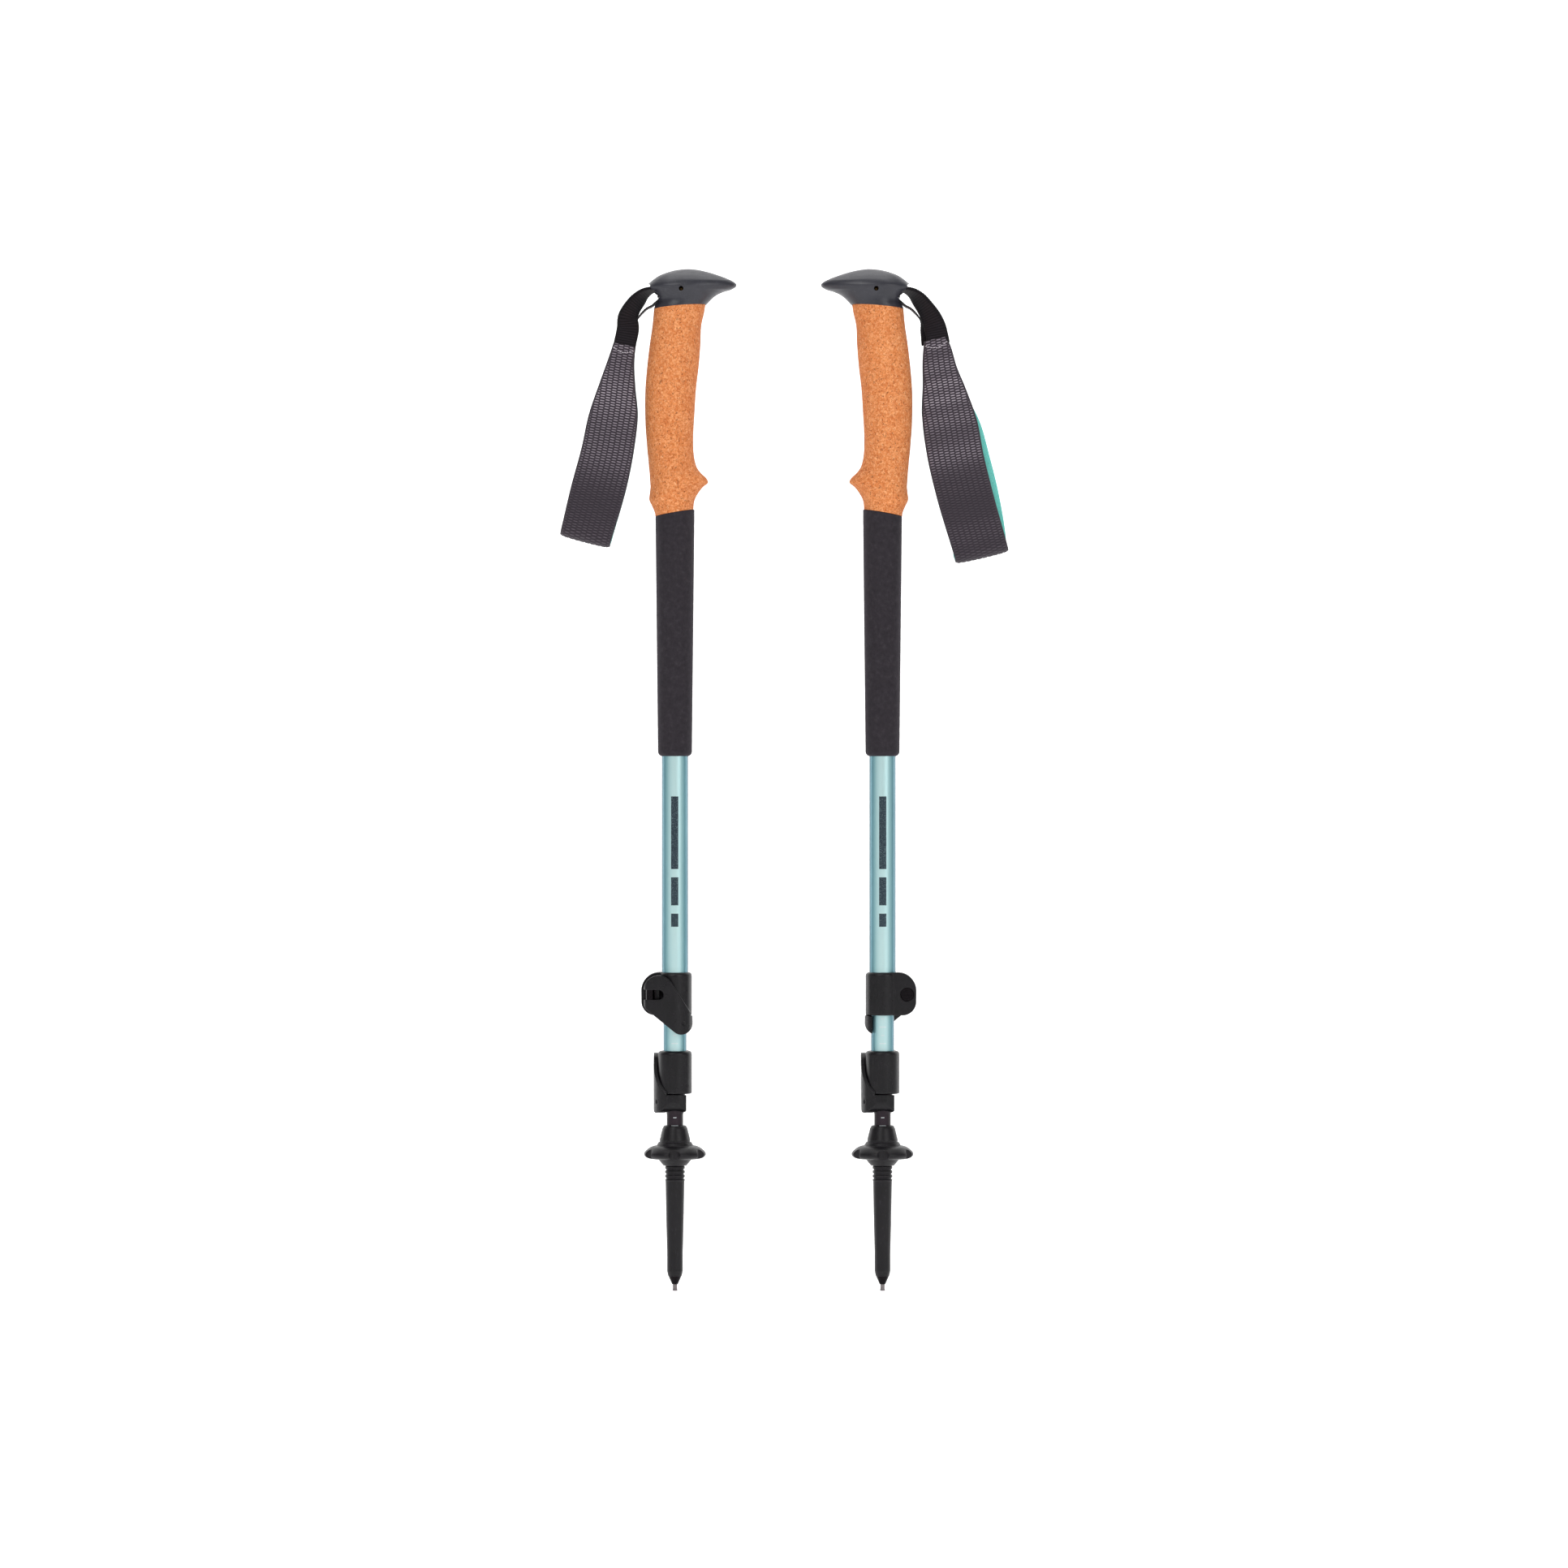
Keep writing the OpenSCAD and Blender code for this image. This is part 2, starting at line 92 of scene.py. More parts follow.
class Paint:
    """A node material on a Principled shader, with short names for the nodes used here.
    Texture scales are in cycles per millimetre."""

    def __init__(self, name, roughness=0.5, metallic=0.0, specular=0.5):
        self.material = bpy.data.materials.new(name)
        self.material.use_nodes = True
        self.tree = self.material.node_tree
        self.shader = self.tree.nodes["Principled BSDF"]
        self.shader.inputs["Roughness"].default_value = roughness
        self.shader.inputs["Metallic"].default_value = metallic
        self.shader.inputs["Specular IOR Level"].default_value = specular
        coordinates = self.tree.nodes.new("ShaderNodeTexCoord")
        self.position = self.node("ShaderNodeMapping", Vector=coordinates.outputs["Object"])
        self.position.inputs["Scale"].default_value = (1 / MM, 1 / MM, 1 / MM)
        self.place = self.position.outputs["Vector"]

    def node(self, kind, **inputs):
        made = self.tree.nodes.new(kind)
        for name, value in inputs.items():
            self.feed(made.inputs[name.replace("_", " ")], value)
        return made

    def feed(self, socket, value):
        if isinstance(value, bpy.types.NodeSocket):
            self.tree.links.new(value, socket)
        else:
            socket.default_value = value

    def stretched(self, x, y, z):
        made = self.node("ShaderNodeMapping", Vector=self.place)
        made.inputs["Scale"].default_value = (x, y, z)
        return made.outputs["Vector"]

    def noise(self, scale, detail=3.0, roughness=0.55, where=None):
        made = self.node("ShaderNodeTexNoise", Vector=where or self.place, Scale=scale)
        made.inputs["Detail"].default_value = detail
        made.inputs["Roughness"].default_value = roughness
        return made.outputs["Fac"]

    def cells(self, scale, feature="F1", output="Distance", where=None, randomness=1.0):
        made = self.node("ShaderNodeTexVoronoi", Vector=where or self.place)
        made.feature = feature
        made.inputs["Scale"].default_value = scale
        made.inputs["Randomness"].default_value = randomness
        return made.outputs[output]

    def ramp(self, value, *stops):
        """stops: (position, colour or number)."""
        made = self.node("ShaderNodeValToRGB", Fac=value)
        elements = made.color_ramp.elements
        for index, (position, colour) in enumerate(stops):
            element = elements[index] if index < 2 else elements.new(position)
            element.position = position
            element.color = colour if isinstance(colour, tuple) else (colour, colour, colour, 1)
        return made.outputs["Color"]

    def mix(self, share, first, second, mode="MIX"):
        made = self.tree.nodes.new("ShaderNodeMix")
        made.data_type = "RGBA"
        made.blend_type = mode
        self.feed(made.inputs[0], share)
        self.feed(made.inputs[6], first)
        self.feed(made.inputs[7], second)
        return made.outputs[2]

    def maths(self, operation, first, second=0.5, clamp=False):
        made = self.tree.nodes.new("ShaderNodeMath")
        made.operation = operation
        made.use_clamp = clamp
        self.feed(made.inputs[0], first)
        self.feed(made.inputs[1], second)
        return made.outputs[0]

    def product(self, first, *others):
        for other in others:
            first = self.maths("MULTIPLY", first, other)
        return first

    def attribute(self, name):
        made = self.tree.nodes.new("ShaderNodeAttribute")
        made.attribute_name = name
        return made.outputs["Fac"]

    def facing(self, blend=0.5):
        """0 where a surface faces the viewer, 1 where it turns away."""
        return self.node("ShaderNodeLayerWeight", Blend=blend).outputs["Facing"]

    def edges(self, radius_mm=0.6):
        """1 on sharp edges, 0 on flat surfaces."""
        rounded = self.node("ShaderNodeBevel", Radius=radius_mm * MM)
        rounded.samples = 6
        flat = self.tree.nodes.new("ShaderNodeNewGeometry")
        dot = self.node("ShaderNodeVectorMath")
        dot.operation = "DOT_PRODUCT"
        self.feed(dot.inputs[0], rounded.outputs["Normal"])
        self.feed(dot.inputs[1], flat.outputs["Normal"])
        return self.ramp(dot.outputs["Value"], (0.80, 1.0), (0.985, 0.0))

    def within(self, value, low, high):
        """1 where the value lies between the two limits."""
        return self.product(self.maths("GREATER_THAN", value, low), self.maths("LESS_THAN", value, high))

    def printed(self, colour, ink, axis_x, marks, every=None):
        """Prints rectangles on the side of a tube that faces -Y.
        marks are (half width, bottom, top), in millimetres; with every, they repeat along the tube."""
        parts = self.node("ShaderNodeSeparateXYZ", Vector=self.place)
        across = self.maths("ABSOLUTE", self.maths("SUBTRACT", parts.outputs["X"], axis_x / MM))
        height = parts.outputs["Z"]
        front = self.maths("LESS_THAN", parts.outputs["Y"], 0.0)
        worn = self.ramp(self.noise(2.5, 5), (0.30, 0.55), (0.45, 1.0))
        for half_width, bottom, top in marks:
            if every:
                height = self.maths("MODULO", parts.outputs["Z"], every)
            near = self.maths("LESS_THAN", across, half_width)
            area = self.product(self.within(height, bottom, top), near, front, worn)
            colour = self.mix(area, colour, ink)
        return colour

    def bump(self, height, strength, depth_mm, over=None):
        made = self.node("ShaderNodeBump", Height=height, Strength=strength, Distance=depth_mm * MM)
        if over:
            self.feed(made.inputs["Normal"], over)
        return made.outputs["Normal"]

    def finish(self, colour=None, roughness=None, normal=None, **others):
        for name, value in (("Base Color", colour), ("Roughness", roughness), ("Normal", normal)):
            if value is not None:
                self.feed(self.shader.inputs[name], value)
        for name, value in others.items():
            self.feed(self.shader.inputs[name.replace("_", " ")], value)
        return self.material


def plastic(name, dark, light, worn, grain=2.2, roughness=(0.42, 0.6), specular=0.35, depth=0.06):
    """Moulded plastic: grained, a little blotchy, and rubbed lighter along its edges."""
    paint = Paint(name, specular=specular)
    blotch = paint.ramp(paint.noise(0.12, 4), (0.3, dark), (0.7, light))
    scuffs = paint.ramp(paint.noise(1.0, 5, where=paint.stretched(1, 1, 0.25)), (0.60, 0.0), (0.72, 1.0))
    rubbed = paint.product(paint.edges(), paint.ramp(paint.noise(0.8, 4), (0.35, 0.1), (0.7, 0.9)))
    colour = paint.mix(paint.product(scuffs, 0.12), blotch, worn)
    colour = paint.mix(paint.product(rubbed, 0.5), colour, worn)
    grains = paint.cells(grain)
    normal = paint.bump(grains, 0.5, depth, over=paint.bump(paint.noise(grain * 3, 2), 0.35, depth / 2))
    low, high = roughness
    rough = paint.ramp(paint.noise(0.5, 4), (0.3, low), (0.75, high))
    return paint.finish(colour, rough, normal)


def anodised_teal(name, axis_x, ink, marks, every=None):
    """Satin anodised tube with faint draw lines; painted reflection and shade make it pale at the middle and
    deeper where it turns away.
    """
    paint = Paint(name, roughness=0.3, metallic=0.55, specular=0.5)
    # painted reflection and shade: pale where the tube faces the viewer, darker where it turns away
    across = paint.facing(0.5)
    colour = paint.ramp(
        across,
        (0.0, rgb(182, 212, 212)),
        (0.08, rgb(168, 202, 204)),
        (0.18, rgb(138, 180, 185)),
        (0.35, rgb(94, 140, 151)),
        (0.65, rgb(62, 104, 118)),
    )
    drawn = paint.noise(3.0, 3, where=paint.stretched(1, 1, 0.01))
    cloudy = paint.noise(0.03, 4)
    colour = paint.mix(paint.ramp(cloudy, (0.35, 0.0), (0.7, 0.12)), colour, rgb(150, 196, 204))
    scratches = paint.noise(0.9, 8, 0.7, where=paint.stretched(1, 1, 0.04))
    colour = paint.mix(paint.ramp(scratches, (0.66, 0.0), (0.72, 0.25)), colour, rgb(225, 238, 240))
    colour = paint.printed(colour, ink, axis_x, marks, every)
    rough = paint.ramp(drawn, (0.3, 0.28), (0.7, 0.34))
    return paint.finish(colour, rough, paint.bump(drawn, 0.05, 0.02))


def anodised_black(name, axis_x, ink, marks, every=None):
    """Black anodised tube with a few bright scratches along it, and painted shade that darkens it where it
    turns away.
    """
    paint = Paint(name, metallic=0.2, specular=0.2)
    # painted shade: darker where the tube turns away from the viewer
    across = paint.facing(0.5)
    colour = paint.ramp(across, (0.0, rgb(42, 33, 40)), (0.5, rgb(30, 24, 29)), (0.9, rgb(16, 13, 16)))
    drawn = paint.noise(3.0, 3, where=paint.stretched(1, 1, 0.01))
    scratches = paint.noise(0.9, 8, 0.7, where=paint.stretched(1, 1, 0.04))
    colour = paint.mix(paint.ramp(scratches, (0.66, 0.0), (0.73, 0.3)), colour, rgb(120, 118, 122))
    colour = paint.printed(colour, ink, axis_x, marks, every)
    rough = paint.ramp(drawn, (0.3, 0.30), (0.7, 0.42))
    return paint.finish(colour, rough, paint.bump(drawn, 0.12, 0.02))


def pressed_cork():
    """Granules of several sizes and tones, with dark bark specks, pits and pale flecks, and painted shade
    where the surface turns away.
    """
    paint = Paint("pressed_cork", specular=0.2)
    wobble = paint.node("ShaderNodeTexNoise", Vector=paint.place, Scale=0.7, Detail=3.0).outputs["Color"]
    bent = paint.mix(0.9, paint.place, wobble, "ADD")
    coarse = paint.cells(0.6, output="Color", where=bent)
    tone = paint.ramp(
        coarse,
        (0.10, rgb(196, 110, 58)),
        (0.40, rgb(217, 132, 76)),
        (0.65, rgb(228, 148, 90)),
        (0.95, rgb(240, 170, 116)),
    )
    fine = paint.ramp(
        paint.cells(1.25, output="Color", where=bent),
        (0.1, rgb(184, 96, 46)),
        (0.5, rgb(226, 143, 86)),
        (0.9, rgb(246, 184, 132)),
    )
    colour = paint.mix(0.5, tone, fine)
    mottled = paint.noise(0.9, 7, 0.7)
    colour = paint.mix(paint.ramp(mottled, (0.48, 0.0), (0.66, 0.65)), colour, rgb(184, 94, 44))
    seams = paint.ramp(paint.cells(0.6, "DISTANCE_TO_EDGE", where=bent), (0.0, 1.0), (0.10, 0.0))
    colour = paint.mix(paint.product(seams, 0.2), colour, rgb(160, 82, 40))
    flecks = paint.noise(0.85, 5, 0.62, where=paint.stretched(1.0, 1.0, 0.8))
    speck = paint.ramp(flecks, (0.60, 0.0), (0.66, 1.0))
    colour = paint.mix(paint.product(speck, 0.75), colour, rgb(112, 54, 28))
    dots = paint.ramp(paint.cells(0.9, where=bent), (0.05, 1.0), (0.16, 0.0))
    sparse = paint.ramp(paint.noise(0.3, 3), (0.45, 0.0), (0.55, 1.0))
    colour = paint.mix(paint.product(dots, sparse, 0.8), colour, rgb(92, 46, 26))
    # painted shade: the cork darkens where its surface turns away from the viewer
    edge = paint.facing(0.35)
    colour = paint.mix(paint.product(edge, 0.45), colour, rgb(160, 88, 50))
    relief = paint.maths("SUBTRACT", paint.noise(2.0, 6, 0.65), paint.product(seams, 0.5))
    relief = paint.maths("SUBTRACT", relief, paint.product(speck, 0.8))
    return paint.finish(colour, 0.84, paint.bump(relief, 0.7, 0.3))


def closed_cell_foam():
    """Dense matt foam: tiny cells, faint moulding mottle, and a painted sheen that pales it where the surface
    turns away from the viewer.
    """
    paint = Paint("closed_cell_foam", specular=0.18)
    mottle = paint.noise(0.35, 6, 0.6)
    colour = paint.ramp(mottle, (0.3, rgb(40, 36, 41)), (0.55, rgb(46, 42, 47)), (0.75, rgb(54, 50, 55)))
    pores = paint.ramp(paint.cells(3.2), (0.05, 1.0), (0.3, 0.0))
    colour = paint.mix(paint.product(pores, 0.5), colour, rgb(24, 21, 25))
    # painted sheen: paler where the foam turns away from the viewer
    painted_sheen = paint.ramp(paint.facing(0.3), (0.2, 0.0), (0.95, 0.5))
    colour = paint.mix(painted_sheen, colour, rgb(84, 78, 86))
    relief = paint.maths("SUBTRACT", paint.noise(1.6, 5, 0.65), paint.product(pores, 0.4))
    return paint.finish(colour, 0.88, paint.bump(relief, 0.6, 0.25))


def webbing_black():
    """Ribbed black webbing; the ribs themselves are in the mesh, and carry the attribute 'weave', whose
    colour is painted shade in the grooves and a painted highlight on the crests.
    """
    paint = Paint("webbing_black", specular=0.1)
    rib = paint.attribute("weave")
    # painted shade and highlight: near black in the grooves, lighter on the crests
    colour = paint.ramp(rib, (0.0, rgb(4, 3, 5)), (0.6, rgb(14, 11, 14)), (1.0, rgb(30, 25, 30)))
    thread = paint.noise(4.5, 3)
    colour = paint.mix(paint.ramp(thread, (0.45, 0.0), (0.7, 0.3)), colour, rgb(46, 40, 46))
    return paint.finish(colour, 0.78, paint.bump(thread, 0.4, 0.1), Sheen_Weight=0.15)


def woven_band():
    """Grey band; 'weave' is 1 on the pale floats and 0 between them, and is lowered further down the band by
    painted shade.
    """
    paint = Paint("woven_band", specular=0.2)
    weave = paint.attribute("weave")
    thread = paint.noise(5.0, 3)
    colour = paint.ramp(
        weave,
        (0.0, rgb(40, 34, 41)),
        (0.35, rgb(62, 55, 62)),
        (0.7, rgb(118, 109, 118)),
        (1.0, rgb(168, 158, 167)),
    )
    colour = paint.mix(paint.ramp(thread, (0.45, 0.0), (0.75, 0.45)), colour, rgb(52, 46, 53))
    return paint.finish(colour, 0.8, paint.bump(thread, 0.45, 0.12), Sheen_Weight=0.2)


def brushed_lining():
    """Soft teal lining with a short nap."""
    paint = Paint("brushed_lining", specular=0.15)
    nap = paint.noise(2.5, 6, 0.7)
    colour = paint.ramp(nap, (0.3, rgb(86, 172, 164)), (0.55, rgb(118, 205, 196)), (0.75, rgb(158, 226, 217)))
    return paint.finish(colour, 0.9, paint.bump(nap, 0.6, 0.25), Sheen_Weight=0.4)


def thread_white():
    """Sewing thread with a visible twist."""
    paint = Paint("thread_white", specular=0.3)
    twist = paint.noise(6.0, 2, where=paint.stretched(1, 1, 0.4))
    colour = paint.ramp(twist, (0.35, rgb(150, 142, 150)), (0.7, rgb(210, 204, 210)))
    return paint.finish(colour, 0.6, paint.bump(twist, 0.4, 0.1))


def metal(name, dark, light, roughness=0.3, scale=2.0):
    """Turned metal: stained a little, with fine rings round the Z axis."""
    paint = Paint(name, metallic=1.0)
    stain = paint.noise(scale, 5)
    turned = paint.noise(scale * 2, 3, where=paint.stretched(0.2, 0.2, 3))
    colour = paint.ramp(stain, (0.3, dark), (0.7, light))
    rough = paint.ramp(turned, (0.3, roughness * 0.8), (0.7, roughness * 1.3))
    return paint.finish(colour, rough, paint.bump(turned, 0.25, 0.03))


LOOKS = {
    "head_plastic": plastic(
        "head_rubber",
        dark=rgb(36, 36, 44),
        light=rgb(43, 43, 51),
        worn=rgb(90, 91, 100),
        grain=1.9,
        roughness=(0.30, 0.42),
        specular=0.45,
        depth=0.04,
    ),
    "black_plastic": plastic(
        "clamp_nylon",
        dark=rgb(9, 8, 11),
        light=rgb(16, 14, 18),
        worn=rgb(74, 70, 76),
        grain=2.4,
        roughness=(0.26, 0.38),
        specular=0.27,
    ),
    "tip_plastic": plastic(
        "tip_nylon",
        dark=rgb(10, 8, 11),
        light=rgb(17, 14, 19),
        worn=rgb(84, 80, 88),
        grain=1.6,
        roughness=(0.32, 0.46),
        specular=0.27,
    ),
    "white_plastic": plastic(
        "acetal",
        dark=rgb(196, 196, 192),
        light=rgb(222, 222, 218),
        worn=rgb(235, 235, 232),
        grain=2.0,
        roughness=(0.3, 0.45),
    ),
    "cork": pressed_cork(),
    "foam": closed_cell_foam(),
    "steel": metal("plain_steel", rgb(150, 150, 154), rgb(190, 190, 194)),
    "dark_steel": metal("oxide_steel", rgb(18, 16, 18), rgb(38, 35, 37), 0.16),
    # painted shade: the brass is darkened so that the pin looks shaded deep in its holes
    "brass": metal("brass_darkened_as_shade", rgb(74, 56, 34), rgb(118, 92, 54), 0.34),
    "carbide": metal("sintered_carbide", rgb(104, 98, 99), rgb(146, 140, 141), 0.45, 3.0),
    "black_webbing": webbing_black(),
    "grey_band": woven_band(),
    "teal_lining": brushed_lining(),
}
THREAD = thread_white()
DARK_INK, PALE_INK = rgb(40, 54, 64), rgb(206, 214, 216)
PLAIN_BARS = [(2.2, 256, 300), (2.2, 234, 251), (2.2, 221, 229)]  # a generic mark on the upper shafts
TICKS = [(2.0, 0, 0.5), (1.0, 5, 5.4)]  # a line at each centimetre and each half
TUBES = {}
for side in SIDES:
    x = AXIS_X[side]
    TUBES[f"{side}_upper_shaft"] = anodised_teal(f"{side}_upper_anodised", x, DARK_INK, PLAIN_BARS)
    TUBES[f"{side}_mid_shaft"] = anodised_teal(f"{side}_mid_anodised", x, PALE_INK, TICKS, every=10)
    TUBES[f"{side}_lower_shaft"] = anodised_black(f"{side}_lower_anodised", x, PALE_INK, TICKS, every=10)
SLOT_OF = {part["node"]: part["material_slot"] for part in frame["record"]["subparts"]}
# painted shade: these sit in the shade of the levers' windows, so they get the dark steel look instead of the
# finish their slot gives
DARKENED_AS_SHADE = ("barrel_nut", "washer")  # clamp hardware seen through the levers' windows


# ---------- meshes ----------


def smooth_curve(keys, count):
    """count rows evenly spaced along a smooth curve through the rows of keys."""
    keys = np.array(keys, float)
    steps = np.linalg.norm(np.diff(keys[:, :3], axis=0), axis=1)
    knots = np.concatenate([[0], np.cumsum(steps)])
    slopes = np.gradient(keys, knots, axis=0)
    where = np.linspace(0, knots[-1], count)
    low = np.clip(np.searchsorted(knots, where, side="right") - 1, 0, len(knots) - 2)
    gap = (knots[low + 1] - knots[low])[:, None]
    t = (where[:, None] - knots[low][:, None]) / gap
    return (
        (2 * t**3 - 3 * t**2 + 1) * keys[low]
        + (t**3 - 2 * t**2 + t) * gap * slopes[low]
        + (3 * t**2 - 2 * t**3) * keys[low + 1]
        + (t**3 - t**2) * gap * slopes[low + 1]
    )


def new_object(name, points, faces, look, place=Matrix.Scale(MM, 4)):
    """A smooth-shaded mesh object; its points, in millimetres, are put in place by the matrix."""
    mesh = bpy.data.meshes.new(name)
    mesh.from_pydata([tuple(p) for p in points], [], faces)
    mesh.transform(place)
    if place.determinant() < 0:
        mesh.flip_normals()
    mesh.materials.append(look)
    mesh.polygons.foreach_set("use_smooth", [True] * len(mesh.polygons))
    made = bpy.data.objects.new(name, mesh)
    bpy.context.scene.collection.objects.link(made)
    return made


def copy_of(source, name, place):
    """The same mesh, moved by a matrix in metres."""
    mesh = source.data.copy()
    mesh.transform(place)
    made = bpy.data.objects.new(name, mesh)
    bpy.context.scene.collection.objects.link(made)
    return made


def bake(obj):
    """Applies every modifier."""
    bpy.context.view_layer.update()
    graph = bpy.context.evaluated_depsgraph_get()
    mesh = bpy.data.meshes.new_from_object(obj.evaluated_get(graph))
    obj.modifiers.clear()
    obj.data = mesh
    return obj


def shade(obj, angle_degrees=40):
    """Smooth shading that keeps edges sharper than the angle."""
    obj.data.polygons.foreach_set("use_smooth", [True] * len(obj.data.polygons))
    obj.data.set_sharp_from_angle(angle=math.radians(angle_degrees))
    return obj


def edit(obj, work):
    """Runs work(bm) on the object's mesh."""
    bm = bmesh.new()
    bm.from_mesh(obj.data)
    work(bm)
    bm.normal_update()
    bm.to_mesh(obj.data)
    bm.free()
    return obj


def settle(obj, body, *nodes):
    """The piece stands for the CAD nodes and rides on the body."""
    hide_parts(*nodes)
    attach(obj, body)
    return obj


def circle_angles(count):
    """The angles of count equal steps round a circle."""
    return [2 * math.pi * k / count for k in range(count)]


def tube_faces(rings, around, closed=True):
    """Faces of a skin of equal rings, with end caps if closed."""
    faces = []
    for k in range(rings - 1):
        for i in range(around):
            j = (i + 1) % around
            faces.append((k * around + i, k * around + j, (k + 1) * around + j, (k + 1) * around + i))
    if closed:
        faces.append(tuple(range(around))[::-1])
        faces.append(tuple((rings - 1) * around + i for i in range(around)))
    return faces


def egg_loft(name, sections, rings, around, look):
    """Skin through egg-shaped sections: z, rear x, front x, half width, narrowing of the front."""
    angles = np.linspace(0, 2 * math.pi, around, endpoint=False)
    points = []
    for z, rear, front, half, narrow in smooth_curve(sections, rings):
        x = (rear + front) / 2 + (front - rear) / 2 * np.cos(angles)
        y = half * np.sin(angles) * (1 - narrow * np.cos(angles))
        points += [(a, b, z) for a, b in zip(x, y)]
    return new_object(name, points, tube_faces(rings, around), look)


def slice_off(obj, height, slope, keep_above, round_mm=0.5):
    """Cuts along a sloping seam plane, in millimetres, caps the cut and rounds its edge."""
    normal = Vector((-slope, 0, 1)).normalized()
    if keep_above:
        normal = -normal

    def work(bm):
        cut = bmesh.ops.bisect_plane(
            bm,
            geom=bm.verts[:] + bm.edges[:] + bm.faces[:],
            plane_co=Vector((0, 0, height * MM)),
            plane_no=normal,
            clear_outer=True,
        )
        rim = [e for e in cut["geom_cut"] if isinstance(e, bmesh.types.BMEdge)]
        bmesh.ops.contextual_create(bm, geom=rim)
        bmesh.ops.bevel(
            bm, geom=rim, offset=round_mm * MM, segments=3, profile=0.5, affect="EDGES", clamp_overlap=True
        )

    return edit(obj, work)


def cylinder_cutter(x, z, radius, length, along_y=True, y=0.0, around=48):
    """A closed cylinder along Y or Z, centred on the point, for carving."""
    points = []
    for end in (-0.5, 0.5):
        for a in circle_angles(around):
            u, v = radius * math.cos(a), radius * math.sin(a)
            points.append((x + u, y + end * length, z - v) if along_y else (x + u, y + v, z + end * length))
    return new_object("cutter", points, tube_faces(2, around), LOOKS["steel"])


def carve(obj, cutter):
    """Takes the cutter away from the object, and removes the cutter."""
    modifier = obj.modifiers.new("carve", "BOOLEAN")
    modifier.operation = "DIFFERENCE"
    modifier.solver = "EXACT"
    modifier.object = cutter
    bake(obj)
    bpy.data.objects.remove(cutter)
    return obj


def moulded(node, voxel_mm, passes):
    """A CAD part remade as one skin with soft moulded edges."""
    obj = bpy.data.objects.new(f"{node}_skin", frame["nodes"][node].data.copy())
    bpy.context.scene.collection.objects.link(obj)
    edit(obj, lambda bm: bmesh.ops.remove_doubles(bm, verts=bm.verts, dist=1e-6))
    remesh = obj.modifiers.new("remesh", "REMESH")
    remesh.mode = "VOXEL"
    remesh.voxel_size = voxel_mm * MM
    relax = obj.modifiers.new("relax", "SMOOTH")
    relax.factor = 0.5
    relax.iterations = passes
    thin = obj.modifiers.new("thin", "DECIMATE")
    thin.ratio = 0.3
    bake(obj)
    obj.data.materials.clear()
    obj.data.materials.append(LOOKS[SLOT_OF[node]])
    return shade(obj, 60)


# ---------- grip ----------

# A seam is (height on the axis, slope along X). A section is (z, rear x, front x, half width, narrowing).
HEAD_SEAM = (596.9, math.tan(math.radians(4.9)))
FOAM_SEAM = (472.1, math.tan(math.radians(9.8)))
HEAD_SECTIONS = [
    (592, -13.4, 17.6, 13.6, 0.05),
    (598.3, -12, 19.1, 13.3, 0.06),
    (600.2, -10.9, 20.7, 13.2, 0.08),
    (602.2, -11.4, 22.7, 13.4, 0.1),
    (604.2, -12.8, 25.3, 13.9, 0.14),
    (606.1, -15, 29.3, 14.5, 0.18),
    (608.1, -17.3, 35.2, 15, 0.22),
    (609.4, -17.4, 37.1, 15.1, 0.24),
    (610.6, -16.6, 37.4, 14.7, 0.24),
    (612.1, -15.1, 36, 14, 0.22),
    (614, -12.8, 32.4, 12.6, 0.2),
    (616, -9.8, 27.2, 10.7, 0.16),
    (618, -4.8, 20.9, 7.8, 0.1),
    (619.3, 0, 15.5, 5, 0.05),
    (620, 5, 11, 2, 0),
]
CORK_SECTIONS = [
    (465, -12, 11.3, 11.9, 0),
    (472, -12.2, 11.3, 12, 0),
    (476, -13.8, 11.3, 12.4, 0),
    (480, -15.6, 12, 14.2, 0),
    (483.9, -15.3, 14, 14.8, 0.04),
    (487.9, -14.9, 17.1, 14.7, 0.1),
    (490.8, -15.1, 20.2, 14.6, 0.16),
    (493.2, -15.3, 19, 14.4, 0.14),
    (495.8, -15.4, 16.2, 14.1, 0.08),
    (499.5, -15.8, 13.4, 13.6, 0.03),
    (503.6, -16.1, 12.1, 13.4, 0),
    (509, -16.7, 11.3, 13.4, 0),
    (515.5, -17.2, 11.1, 13.6, 0),
    (523, -17.8, 11.3, 13.9, 0),
    (531.2, -18.1, 11.8, 14.2, 0),
    (547, -18, 12.8, 14.6, 0),
    (562.8, -16.7, 14.6, 14.5, 0),
    (574.6, -15.3, 15.5, 14.2, 0),
    (586.4, -13.6, 16.1, 13.8, 0.03),
    (594, -12.9, 17.8, 13.6, 0.05),
    (602, -12.3, 19, 13.4, 0.06),
]
PIN_X, PIN_Z = 4.0, 607.0  # centre of the strap's cross pin


def chamber_cutter():
    """The room for the strap, open at the rear of the head: a rounded rectangle, drawn along X."""
    half_y, half_z, middle_z = 7.9, 4.9, 606.2
    around = 32
    points = []
    for x in (-30, 8.5):
        for a in circle_angles(around):
            square = (abs(math.cos(a)) ** 5 + abs(math.sin(a)) ** 5) ** -0.2
            points.append((x, half_y * square * math.cos(a), middle_z + half_z * square * math.sin(a)))
    return new_object("cutter", points, tube_faces(2, around), LOOKS["steel"])


